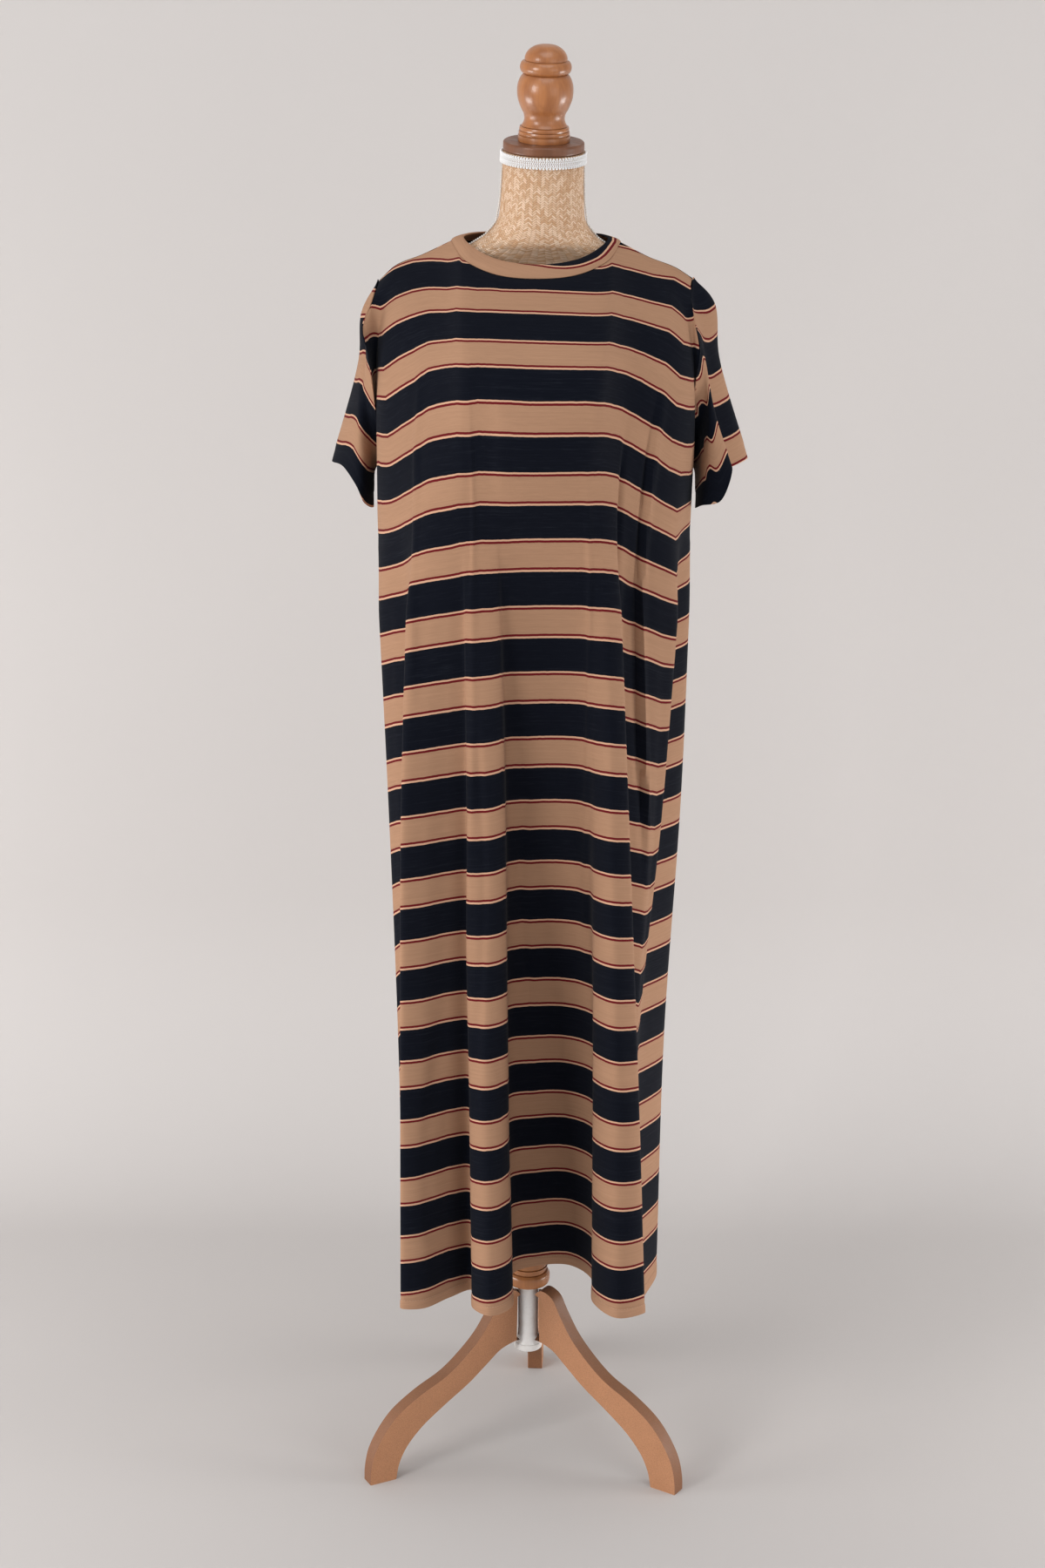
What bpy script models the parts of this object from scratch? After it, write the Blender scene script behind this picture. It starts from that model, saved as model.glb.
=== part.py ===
"""A striped t-shirt dress on a limbless dress form with a three-legged stand.

Metres, +Z up. The wearer's front faces -Y. The dress is cut and sewn from five pieces: front, back,
two sleeves and a neckband. Every piece is a cloth wall, and pieces stop SEAM_GAP apart at their seams.
The body of the dress is a ring of vertical threads of cloth: each row of FRONT_FOLDS and BACK_FOLDS is
one fold line, with its place in plan at four heights and the place on the neck, shoulder or armhole
edge that it hangs from. The surface is a smooth curve through the fold lines, section by section.
"""

import math

import bmesh
import bpy
import numpy as np
from mathutils import Matrix, Vector

# ---- driving dimensions -------------------------------------------------------------------------
CLOTH = 0.0018          # thickness of the jersey
SEAM_GAP = 0.0003       # between sewn pieces, and between seated hard parts
SLEEVE_GAP = 0.0009     # twice what a sleeve keeps back from the middle of its seam
UNDERARM_GAP = 0.0026   # how far it also stands off the body at the underarm
UNDERARM_REACH = 0.060  # and how far along the seam from there
STATIONS = (0.290, 0.600, 0.900, 1.200)   # heights that the fold tables give places for
BODY_ROWS = 8           # rows of facets from the hem to the chest
CHEST_ROWS = 8          # rows of facets from the chest to the shoulder
SLEEVE_ROWS = 6

BAND_THICKNESS = 0.0026        # the neckband is doubled
LEAN = math.radians(1.2)       # the form leans to +X above its waist
LEAN_HEIGHT = 1.090
POLE_RADIUS = 0.0225
TUBE_RADIUS = 0.0120
LEG_THICKNESS = 0.018
LEG_ANGLES = (("leg_left", -153.0), ("leg_right", -33.0), ("leg_back", 87.0))
ROUND = 40              # facets round a turned part
TORSO_ROUND = 44

# A fold line: plan place (x, y) at each station, how far its stripes hang below the middle's at the
# hem and at the chest, where its top end lies on the upper edge (a whole number is a corner between
# two of the five edges), the direction it arrives there in, as long as its fullness, and the number of
# facets from it to the next fold line.
FOLD_COLUMNS = ("name", "hem", "knee", "hip", "chest", "drop_hem", "drop_chest", "top", "arrive", "steps")
NECK = (0.0, 1.50, 0.90)
FRONT_FOLDS = (
    ("seam_left", (-0.140, -0.168), (-0.143, -0.163), (-0.154, -0.112), (-0.1675, -0.066),
     0.010, 0.048, 0.0, (0.1, 0.3, 1.0), 5),
    ("wing_edge", (-0.143, -0.176), (-0.146, -0.170), (-0.1565, -0.128), (-0.1690, -0.096),
     0.006, 0.045, 0.68, (-0.10, 0.75, 0.60), 2),
    ("shoulder_fold_left", (-0.141, -0.181), (-0.142, -0.176), (-0.147, -0.147), (-0.1510, -0.121),
     0.004, 0.036, 1.00, (0.0, 0.95, 0.35), 2),
    ("wing_valley", (-0.138, -0.186), (-0.137, -0.182), (-0.134, -0.168), (-0.1300, -0.143),
     0.002, 0.026, 1.25, (0.0, 0.90, 0.45), 2),
    ("left_ridge", (-0.145, -0.203), (-0.143, -0.203), (-0.140, -0.198), (-0.1310, -0.166),
     0.0, 0.010, 1.50, (0.0, 0.90, 0.55), 2),
    ("left_panel", (-0.121, -0.203), (-0.120, -0.201), (-0.117, -0.197), (-0.1100, -0.178),
     0.0, 0.003, 1.75, (0.0, 0.95, 0.70), 2),
    ("left_slope", (-0.092, -0.177), (-0.092, -0.184), (-0.091, -0.190), (-0.0895, -0.186),
     0.0, 0.0, 2.00, (0.0, 1.00, 0.80), 2),
    ("pleat_valley", (-0.066, -0.157), (-0.069, -0.174), (-0.071, -0.187), (-0.0745, -0.189),
     0.0, 0.0, 2.12, NECK, 2),
    ("pleat_left", (-0.0625, -0.202), (-0.066, -0.202), (-0.068, -0.199), (-0.0710, -0.190),
     0.0, 0.0, 2.15, NECK, 2),
    ("pleat_crown", (-0.043, -0.220), (-0.0475, -0.214), (-0.050, -0.206), (-0.0540, -0.192),
     0.0, 0.0, 2.25, NECK, 2),
    ("pleat_right", (-0.0205, -0.200), (-0.027, -0.201), (-0.031, -0.199), (-0.0385, -0.191),
     0.0, 0.0, 2.32, NECK, 2),
    ("hollow_left", (-0.0185, -0.116), (-0.0235, -0.140), (-0.0255, -0.172), (-0.0330, -0.190),
     0.0, 0.0, 2.35, NECK, 2),
    ("hollow_mid", (0.009, -0.097), (0.003, -0.126), (-0.001, -0.163), (-0.0070, -0.189),
     0.0, 0.0, 2.48, NECK, 2),
    ("hollow_right", (0.046, -0.094), (0.040, -0.125), (0.034, -0.163), (0.0290, -0.188),
     0.0, 0.0, 2.66, NECK, 2),
    ("hollow_wall", (0.0725, -0.126), (0.0695, -0.146), (0.059, -0.173), (0.0540, -0.187),
     0.0, 0.0, 2.80, NECK, 2),
    ("right_panel", (0.0745, -0.187), (0.0725, -0.192), (0.0705, -0.193), (0.0670, -0.186),
     0.0, 0.0, 2.87, NECK, 2),
    ("right_crown", (0.101, -0.224), (0.095, -0.218), (0.0875, -0.208), (0.0800, -0.183),
     0.0, 0.0, 3.00, (0.0, 1.00, 0.80), 2),
    ("right_ridge", (0.1305, -0.212), (0.118, -0.210), (0.1045, -0.202), (0.0905, -0.175),
     0.0, 0.006, 3.25, (0.0, 0.95, 0.70), 1),
    ("ridge_back", (0.127, -0.178), (0.115, -0.176), (0.102, -0.172), (0.0950, -0.156),
     0.010, 0.016, 3.375, (0.0, 0.85, 0.60), 3),
    ("second_ridge", (0.130, -0.164), (0.119, -0.162), (0.1295, -0.152), (0.1225, -0.150),
     0.016, 0.024, 3.75, (0.0, 0.90, 0.45), 2),
    ("shoulder_fold_right", (0.131, -0.155), (0.120, -0.153), (0.137, -0.139), (0.1440, -0.137),
     0.020, 0.032, 4.00, (0.0, 0.95, 0.35), 2),
    ("front_edge", (0.132, -0.146), (0.121, -0.144), (0.1445, -0.126), (0.1620, -0.118),
     0.024, 0.038, 4.32, (0.10, 0.75, 0.60), 3),
    ("edge_valley", (0.131, -0.118), (0.124, -0.114), (0.1400, -0.098), (0.1560, -0.090),
     0.034, 0.042, 4.62, (-0.2, 0.3, 1.0), 2),
    ("side_ridge", (0.1500, -0.042), (0.1535, -0.042), (0.1670, -0.048), (0.1745, -0.055),
     0.042, 0.048, 4.84, (-0.1, 0.3, 1.0), 2),
    ("seam_right", (0.1510, -0.006), (0.1545, -0.008), (0.1680, -0.012), (0.1720, -0.026),
     0.044, 0.050, 5.0, (-0.1, 0.2, 1.0), 0),
)
BACK_FOLDS = (
    ("seam_right", (0.1510, -0.006), (0.1545, -0.008), (0.1680, -0.012), (0.1720, -0.026),
     0.044, 0.050, 0.0, (-0.1, 0.2, 1.0), 5),
    ("side_right", (0.1480, 0.052), (0.1500, 0.048), (0.1580, 0.040), (0.1620, 0.030),
     0.040, 0.044, 0.75, (0.45, -0.35, 0.75), 4),
    ("corner_right", (0.1240, 0.106), (0.1270, 0.101), (0.1320, 0.093), (0.1340, 0.080),
     0.030, 0.030, 1.25, (0.15, -0.90, 0.50), 4),
    ("valley_right", (0.0860, 0.082), (0.0880, 0.087), (0.0920, 0.094), (0.0950, 0.096),
     0.020, 0.016, 1.75, (0.0, -1.00, 0.45), 4),
    ("ridge_right", (0.0520, 0.122), (0.0530, 0.118), (0.0540, 0.112), (0.0550, 0.105),
     0.014, 0.008, 2.25, (0.0, -0.60, 0.80), 3),
    ("valley_mid", (0.0070, 0.086), (0.0070, 0.092), (0.0060, 0.101), (0.0050, 0.106),
     0.012, 0.004, 2.50, (0.0, -0.60, 0.80), 3),
    ("ridge_left", (-0.0430, 0.124), (-0.0450, 0.119), (-0.0480, 0.112), (-0.0500, 0.105),
     0.014, 0.008, 2.75, (0.0, -0.60, 0.80), 4),
    ("valley_left", (-0.0830, 0.086), (-0.0850, 0.090), (-0.0880, 0.096), (-0.0900, 0.097),
     0.018, 0.014, 3.25, (0.0, -1.00, 0.45), 4),
    ("corner_left", (-0.1180, 0.106), (-0.1210, 0.100), (-0.1270, 0.091), (-0.1300, 0.080),
     0.022, 0.028, 3.75, (-0.15, -0.90, 0.50), 4),
    ("side_left", (-0.1400, 0.040), (-0.1430, 0.034), (-0.1520, 0.026), (-0.1590, 0.018),
     0.024, 0.044, 4.25, (-0.45, -0.35, 0.75), 5),
    ("under_left", (-0.1370, -0.080), (-0.1400, -0.078), (-0.1500, -0.060), (-0.1640, -0.030),
     0.018, 0.048, 4.85, (0.1, 0.0, 1.0), 2),
    ("seam_left", (-0.140, -0.168), (-0.143, -0.163), (-0.154, -0.112), (-0.1675, -0.066),
     0.010, 0.048, 5.0, (0.1, 0.3, 1.0), 0),
)

# Upper edges of a panel, in the order of its folds: armhole, shoulder, neckline, shoulder, armhole.
UNDERARM_LEFT = (-0.1665, -0.022, 1.238)
UNDERARM_RIGHT = (0.1710, -0.016, 1.238)
TIP_LEFT = (-0.1675, 0.002, 1.4325)
TIP_RIGHT = (0.1725, 0.002, 1.4365)
NECK_LEFT = (-0.0890, 0.000, 1.4770)
NECK_RIGHT = (0.0940, 0.000, 1.4760)
FRONT_EDGES = (
    (UNDERARM_LEFT, (-0.1695, -0.048, 1.285), (-0.1728, -0.066, 1.340), (-0.1765, -0.064, 1.368),
     (-0.1830, -0.052, 1.390), (-0.1745, -0.026, 1.413), TIP_LEFT),
    (TIP_LEFT, (-0.1510, 0.001, 1.4485), (-0.1200, 0.000, 1.4620), NECK_LEFT),
    (NECK_LEFT, (-0.0720, -0.040, 1.4625), (-0.0400, -0.061, 1.4530), (0.0030, -0.067, 1.4500),
     (0.0460, -0.061, 1.4530), (0.0770, -0.040, 1.4620), NECK_RIGHT),
    (NECK_RIGHT, (0.1250, 0.000, 1.4600), (0.1560, 0.001, 1.4475), TIP_RIGHT),
    (TIP_RIGHT, (0.1695, -0.018, 1.420), (0.1720, -0.034, 1.402), (0.1785, -0.052, 1.372),
     (0.1745, -0.061, 1.335), (0.1725, -0.045, 1.285), UNDERARM_RIGHT),
)
BACK_EDGES = (
    (UNDERARM_RIGHT, (0.1700, 0.010, 1.285), (0.1685, 0.030, 1.350), (0.1680, 0.026, 1.405), TIP_RIGHT),
    (TIP_RIGHT, (0.1560, 0.001, 1.4475), (0.1250, 0.000, 1.4600), NECK_RIGHT),
    (NECK_RIGHT, (0.0780, 0.036, 1.4700), (0.0420, 0.058, 1.4640), (0.0030, 0.064, 1.4620),
     (-0.0370, 0.058, 1.4640), (-0.0730, 0.036, 1.4700), NECK_LEFT),
    (NECK_LEFT, (-0.1200, 0.000, 1.4620), (-0.1510, 0.001, 1.4485), TIP_LEFT),
    (TIP_LEFT, (-0.1635, 0.026, 1.402), (-0.1640, 0.030, 1.350), (-0.1655, 0.010, 1.285), UNDERARM_LEFT),
)
BAND_TOP = ((0.0025, -0.055, 1.4625), (0.050, -0.041, 1.4665), (0.0800, -0.004, 1.4800),
            (0.054, 0.037, 1.4780), (0.0025, 0.051, 1.4755), (-0.049, 0.037, 1.4785),
            (-0.0755, -0.004, 1.4810), (-0.045, -0.041, 1.4670))

# A sleeve fold line: where it leaves the armhole (0 underarm, 1 shoulder tip by way of the front,
# 2 underarm again by way of the back), then its place at the cap, half way down and at the hem.
SLEEVE_COLUMNS = ("name", "armhole", "cap", "middle", "hem")
SLEEVE_LEFT = (
    ("under", 0.0, (-0.1735, -0.016, 1.224), (-0.1745, -0.020, 1.205), (-0.1745, -0.024, 1.185)),
    ("front_low", 0.30, (-0.1770, -0.044, 1.272), (-0.1820, -0.048, 1.235), (-0.1840, -0.046, 1.196)),
    ("front", 0.58, (-0.1810, -0.050, 1.330), (-0.1890, -0.052, 1.275), (-0.1930, -0.050, 1.217)),
    ("front_outer", 0.82, (-0.1790, -0.024, 1.388), (-0.1890, -0.034, 1.325), (-0.2070, -0.034, 1.2330)),
    ("outer", 1.00, (-0.1860, 0.000, 1.3985), (-0.1900, 0.000, 1.345), (-0.2211, 0.000, 1.2303)),
    ("back_outer", 1.25, (-0.1820, 0.030, 1.375), (-0.1920, 0.038, 1.310), (-0.2110, 0.034, 1.230)),
    ("back_low", 1.65, (-0.1770, 0.026, 1.300), (-0.1830, 0.034, 1.250), (-0.1900, 0.028, 1.206)),
)
SLEEVE_RIGHT = (
    ("under", 0.0, (0.1785, -0.010, 1.224), (0.1795, -0.014, 1.206), (0.1800, -0.020, 1.187)),
    ("front_low", 0.28, (0.1810, -0.046, 1.275), (0.1840, -0.062, 1.240), (0.1840, -0.076, 1.203)),
    ("front_fold", 0.50, (0.1850, -0.056, 1.325), (0.1930, -0.072, 1.275), (0.2040, -0.080, 1.2090)),
    ("fold_edge", 0.66, (0.1850, -0.050, 1.355), (0.1970, -0.062, 1.300), (0.2165, -0.070, 1.2440)),
    ("valley", 0.84, (0.1810, -0.026, 1.390), (0.1870, -0.034, 1.320), (0.1990, -0.040, 1.2280)),
    ("outer", 1.00, (0.1955, 0.000, 1.4110), (0.2020, 0.000, 1.350), (0.2369, 0.000, 1.2352)),
    ("back_outer", 1.25, (0.1890, 0.030, 1.380), (0.2020, 0.038, 1.310), (0.2240, 0.034, 1.232)),
    ("back_low", 1.65, (0.1800, 0.026, 1.300), (0.1880, 0.034, 1.250), (0.1980, 0.028, 1.206)),
)

# The form: height, half width, depth in front of and behind the pole's axis, and the section's
# squareness (2 is an ellipse).
TORSO_COLUMNS = ("height", "half_width", "front", "back", "power")
TORSO = (
    (0.790, 0.030, 0.030, 0.030, 2.0),
    (0.796, 0.100, 0.078, 0.070, 2.1),
    (0.815, 0.128, 0.096, 0.084, 2.1),
    (0.860, 0.135, 0.101, 0.090, 2.1),
    (0.940, 0.123, 0.098, 0.080, 2.1),
    (1.030, 0.108, 0.094, 0.062, 2.1),
    (1.110, 0.119, 0.118, 0.064, 2.1),
    (1.190, 0.136, 0.156, 0.072, 2.0),
    (1.250, 0.1430, 0.170, 0.080, 2.0),
    (1.300, 0.1480, 0.158, 0.081, 2.0),
    (1.350, 0.1520, 0.127, 0.076, 2.1),
    (1.390, 0.1560, 0.090, 0.066, 2.1),
    (1.412, 0.1570, 0.066, 0.053, 2.1),
    (1.426, 0.1550, 0.051, 0.043, 2.0),
    (1.438, 0.1480, 0.040, 0.035, 2.0),
    (1.449, 0.1310, 0.033, 0.030, 2.0),
    (1.459, 0.1050, 0.031, 0.030, 2.0),
    (1.470, 0.0790, 0.036, 0.036, 2.0),
    (1.482, 0.0605, 0.0440, 0.0440, 2.0),
    (1.497, 0.0486, 0.0455, 0.0460, 2.0),
    (1.523, 0.0448, 0.0445, 0.0445, 2.0),
    (1.555, 0.0436, 0.0436, 0.0436, 2.0),
    (1.5747, 0.0432, 0.0432, 0.0432, 2.0),
)
# Turned parts: (radius, height) from the bottom up, heights from the cap's top face for the finial
# and from the floor for the stand.
FINIAL = ((0.0280, 0.0003), (0.0280, 0.0070), (0.0273, 0.0080), (0.0273, 0.0120), (0.0264, 0.0130),
          (0.0260, 0.0160), (0.0226, 0.0200), (0.0217, 0.0240), (0.0226, 0.0290), (0.0266, 0.0370),
          (0.0296, 0.0460), (0.0302, 0.0530), (0.0295, 0.0605), (0.0268, 0.0680), (0.0242, 0.0718),
          (0.0262, 0.0740), (0.0275, 0.0775), (0.0275, 0.0808), (0.0260, 0.0842), (0.0236, 0.0862),
          (0.0228, 0.0897), (0.0198, 0.0950), (0.0140, 0.1000), (0.0060, 0.1027))
CAP = ((0.0424, 0.0000), (0.0436, 0.0012), (0.0436, 0.0088), (0.0424, 0.0100))
HUB_RING = ((0.0215, 0.2180), (0.0250, 0.2215), (0.0257, 0.2270), (0.0250, 0.2330), (0.0215, 0.2350),
            (0.0215, 0.2395), (0.0232, 0.2420))
HUB_TUBE = ((0.0155, 0.1310), (0.0166, 0.1330), (0.0160, 0.1390), (0.0128, 0.1460), (0.0120, 0.1500),
            (0.0120, 0.2177))
LEG_OUTLINE = ((0.0124, 0.2060), (0.024, 0.2155), (0.039, 0.2100), (0.050, 0.1910), (0.067, 0.1640),
               (0.090, 0.1400), (0.113, 0.1220), (0.147, 0.1050), (0.177, 0.0850), (0.195, 0.0640),
               (0.208, 0.0400), (0.213, 0.0170), (0.2137, 0.0), (0.1803, 0.0), (0.176, 0.0200),
               (0.166, 0.0400), (0.146, 0.0620), (0.116, 0.0840), (0.083, 0.1060), (0.060, 0.1250),
               (0.040, 0.1410), (0.022, 0.1470), (0.0135, 0.1475))


# ---- curves -------------------------------------------------------------------------------------
def smooth_through(knots, values, wanted, closed=None):
    """Values at the wanted knots of a smooth curve; closed is the knot length of a full turn."""
    knots = np.asarray(knots, float)
    values = np.asarray(values, float)
    wanted = np.asarray(wanted, float)
    if closed is not None:
        knots = np.concatenate(([knots[-1] - closed], knots, [knots[0] + closed, knots[1] + closed]))
        values = np.concatenate((values[-1:], values, values[:2]))
    slopes = np.diff(values, axis=0) / np.diff(knots)[:, None]
    steps = np.diff(knots)[:, None]
    tangents = np.empty_like(values)
    tangents[1:-1] = (slopes[:-1] * steps[1:] + slopes[1:] * steps[:-1]) / (steps[1:] + steps[:-1])
    tangents[0] = slopes[0]
    tangents[-1] = slopes[-1]
    index = np.clip(np.searchsorted(knots, wanted, side="right") - 1, 0, len(knots) - 2)
    length = steps[index]
    share = ((wanted - knots[index]) / length[:, 0])[:, None]
    return hermite(values[index], values[index + 1], tangents[index] * length,
                   tangents[index + 1] * length, share)


def hermite(start, end, leave, arrive, share):
    square = share * share
    cube = square * share
    return ((2 * cube - 3 * square + 1) * start + (cube - 2 * square + share) * leave
            + (3 * square - 2 * cube) * end + (cube - square) * arrive)


def lengths_along(points, power=1.0):
    """Running knots of a line of points; power 0.5 keeps a smooth curve from overshooting."""
    steps = np.linalg.norm(np.diff(points, axis=0), axis=1) ** power
    return np.concatenate(([0.0], np.cumsum(steps)))


def unit(vectors):
    return vectors / np.maximum(np.linalg.norm(vectors, axis=-1, keepdims=True), 1e-12)


def on_edges(edges, places):
    """Points on a chain of edges, where place 2.5 is half way along the third edge."""
    found = []
    for place in places:
        number = min(int(place), len(edges) - 1)
        points = np.array(edges[number])
        knots = lengths_along(points)
        found.append(smooth_through(knots, points, [(place - number) * knots[-1]])[0])
    return np.array(found)


# ---- cloth --------------------------------------------------------------------------------------
def fold_columns(folds):
    """For each facet column: the fold before it and the share of the way to the next one."""
    return [(number, step / folds[number][9]) for number in range(len(folds) - 1)
            for step in range(folds[number][9])]


def body_grid():
    """Rows of a closed ring of mid-surface points, their rising directions and the front's columns."""
    folds = FRONT_FOLDS[:-1] + BACK_FOLDS[:-1]
    columns = fold_columns(FRONT_FOLDS)
    front_count = len(columns)
    shift = len(FRONT_FOLDS) - 1
    columns += [(number + shift, share) for number, share in fold_columns(BACK_FOLDS)]
    stations = np.array(STATIONS)
    heights = np.linspace(stations[0], stations[-1], BODY_ROWS + 1)
    below = stations[-1] - 0.01
    rows = []
    for height in list(heights) + [below]:
        points = []
        for fold in folds:
            plan = smooth_through(stations, np.array(fold[1:5]), [height])[0]
            share = (height - stations[0]) / (stations[-1] - stations[0])
            drop = fold[5] + (fold[6] - fold[5]) * share
            points.append((plan[0], plan[1], height - drop))
        rows.append(round_ring(points, columns))
    rising = unit(rows[BODY_ROWS] - rows[-1])
    return np.array(rows[:-1]), rising, front_count


def round_ring(points, columns):
    """A smooth closed line through points, sampled at (point number, share of the way on)."""
    points = np.array(points)
    knots = lengths_along(np.vstack((points, points[:1])), 0.5)
    wanted = [knots[number] + share * (knots[number + 1] - knots[number]) for number, share in columns]
    return smooth_through(knots[:-1], points, wanted, closed=knots[-1])


def smooth_step(value):
    share = np.clip(value, 0.0, 1.0)
    return share * share * (3 - 2 * share)


def panel_grid(folds, edges, lower, rising, bust=0.0):
    """A front or back: its lower rows, and above the chest a smooth run up to its upper edges."""
    tops, arrivals = [], []
    for number, share in fold_columns(folds) + [(len(folds) - 1, 0.0)]:
        after = min(number + 1, len(folds) - 1)
        tops.append(folds[number][7] + share * (folds[after][7] - folds[number][7]))
        arrivals.append(np.array(folds[number][8]) * (1 - share) + np.array(folds[after][8]) * share)
    ends = on_edges(edges, tops)
    start = lower[-1]
    chord = np.linalg.norm(ends - start, axis=1)[:, None]
    place = np.array(tops)[:, None]
    full = bust * smooth_step((place - 0.7) / 0.9) * smooth_step((4.3 - place) / 0.9)
    leave = rising * (1 + 0.45 * full) + np.array((0.0, -0.09, 0.0)) * full
    rows = list(lower)
    for row in range(1, CHEST_ROWS + 1):
        share = np.full((len(tops), 1), row / CHEST_ROWS)
        rows.append(hermite(start, ends, leave * chord, np.array(arrivals) * chord, share))
    return np.array(rows), tops


def sleeve_grid(folds, front, back, places):
    """A tube from the armhole to the sleeve's hem, two columns to each span of the armhole."""
    places = list(places) + [2.0]
    corners = on_edges((front, back), places)
    starts, columns = [], []
    marks = [fold[1] for fold in folds] + [2.0]
    for index in range(len(places) - 1):
        for share in (0.0, 0.5):
            place = places[index] + share * (places[index + 1] - places[index])
            starts.append(corners[index] * (1 - share) + corners[index + 1] * share)
            number = int(np.searchsorted(marks, place, side="right")) - 1
            columns.append((number, (place - marks[number]) / (marks[number + 1] - marks[number])))
    sections = [np.array(starts)]
    sections += [round_ring([fold[level] for fold in folds], columns) for level in (2, 3, 4)]
    sections = np.array(sections)
    rows = np.empty((SLEEVE_ROWS + 1, len(columns), 3))
    for index in range(len(columns)):
        line = sections[:, index]
        knots = lengths_along(line, 0.5)
        rows[:, index] = smooth_through(knots, line, np.linspace(0, knots[-1], SLEEVE_ROWS + 1))
    return rows


def band_grid(places):
    """The neckband's closed rows, from the neckline up to its open edge."""
    lower = on_edges((FRONT_EDGES[2], BACK_EDGES[2]), places)
    upper = round_ring(BAND_TOP, [(number, step / 50) for number in range(len(BAND_TOP))
                                  for step in range(50)])
    centre = upper.mean(axis=0)
    angles = np.arctan2(upper[:, 1] - centre[1], upper[:, 0] - centre[0])
    order = np.argsort(angles)
    wanted = np.arctan2(lower[:, 1] - centre[1], (lower[:, 0] - centre[0]) * 0.86)
    top = np.stack([np.interp(wanted, angles[order], upper[order, axis], period=2 * math.pi)
                    for axis in range(3)], axis=1)
    rise = top - lower
    along = unit(np.roll(lower, -1, axis=0) - np.roll(lower, 1, axis=0))
    bow = unit(np.cross(along, unit(rise)))
    return np.array([lower, lower + rise * 0.5 + bow * 0.0012, top])


def facet_normals(grid, closed):
    """One unit normal for each facet of a grid of points."""
    if closed:
        grid = np.concatenate((grid, grid[:, :1]), axis=1)
    return unit(np.cross(grid[1:, 1:] - grid[:-1, :-1], grid[1:, :-1] - grid[:-1, 1:]))


def grid_normals(grid, closed):
    """Normals at the points, longer where the cloth is folded so that its wall keeps its thickness."""
    facets = facet_normals(grid, closed)
    rows, columns = grid.shape[:2]
    total = np.zeros_like(grid)
    for row_step in (0, 1):
        for column_step in (0, 1):
            for row in range(rows - 1):
                target = (np.arange(facets.shape[1]) + column_step) % columns
                np.add.at(total[row + row_step], target, facets[row])
    return unit(total)


def fold_scale(grid, normals, closed):
    facets = facet_normals(grid, closed)
    rows, columns = grid.shape[:2]
    total = np.zeros(grid.shape[:2])
    count = np.zeros(grid.shape[:2])
    for row_step in (0, 1):
        for column_step in (0, 1):
            for row in range(rows - 1):
                target = (np.arange(facets.shape[1]) + column_step) % columns
                dots = np.sum(normals[row + row_step][target] * facets[row], axis=1)
                np.add.at(total[row + row_step], target, dots)
                np.add.at(count[row + row_step], target, 1)
    return 1.0 / np.clip(total / count, 0.62, 1.0)


def share_normals(pieces):
    """Gives all points that pieces share at a seam one normal, so that their rims face each other."""
    found = {}
    for piece in pieces.values():
        for place in np.ndindex(piece["grid"].shape[:2]):
            key = tuple(np.round(piece["grid"][place] * 1e6).astype(int))
            found.setdefault(key, []).append((piece, place))
    for owners in found.values():
        if len(owners) > 1:
            total = unit(sum(piece["normals"][place] for piece, place in owners))
            for piece, place in owners:
                piece["normals"][place] = total
                piece["shared"][place] = True


def held_back(grid, normals, row=None, column=None, gap=SEAM_GAP):
    """Moves one border of a grid inward by half a seam gap, away from the piece it is sewn to."""
    if row is not None:
        inner = grid[1 if row == 0 else len(grid) - 2]
        border, facing = grid[row], normals[row]
        along = np.gradient(border, axis=0)
    else:
        inner = grid[:, 1 if column == 0 else grid.shape[1] - 2]
        border, facing = grid[:, column], normals[:, column]
        along = np.gradient(border, axis=0)
    away = unit(np.cross(unit(along), facing))
    away *= np.sign(np.sum(away * (inner - border), axis=-1, keepdims=True))
    border += away * gap / 2


def stand_off_underarm(grid):
    """Moves a sleeve's seam row outward near the underarm, where the side seam of the body meets it."""
    low = grid[0, np.argmin(grid[0, :, 2])].copy()
    near = np.clip(1 - np.linalg.norm(grid[0] - low, axis=1) / UNDERARM_REACH, 0.0, 1.0)
    grid[0, :, 0] += math.copysign(UNDERARM_GAP, low[0]) * near


def wall(grid, offsets, closed):
    """Vertices and faces of the closed body that lies an offset to each side of a grid."""
    rows, columns = grid.shape[:2]
    vertices = np.concatenate(((grid + offsets).reshape(-1, 3), (grid - offsets).reshape(-1, 3)))
    half = rows * columns
    faces = []
    spans = columns if closed else columns - 1
    for r in range(rows - 1):
        for c in range(spans):
            d = (c + 1) % columns
            a, b = r * columns + c, r * columns + d
            e, f = (r + 1) * columns + d, (r + 1) * columns + c
            faces.append((a, b, e, f))
            faces.append((half + b, half + a, half + f, half + e))
    for c in range(spans):
        d = (c + 1) % columns
        faces.append((d, c, half + c, half + d))
        top = (rows - 1) * columns
        faces.append((top + c, top + d, half + top + d, half + top + c))
    if not closed:
        for r in range(rows - 1):
            a, b = r * columns, (r + 1) * columns
            faces.append((a, b, half + b, half + a))
            a, b = a + columns - 1, b + columns - 1
            faces.append((b, a, half + a, half + b))
    return vertices, faces


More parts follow.
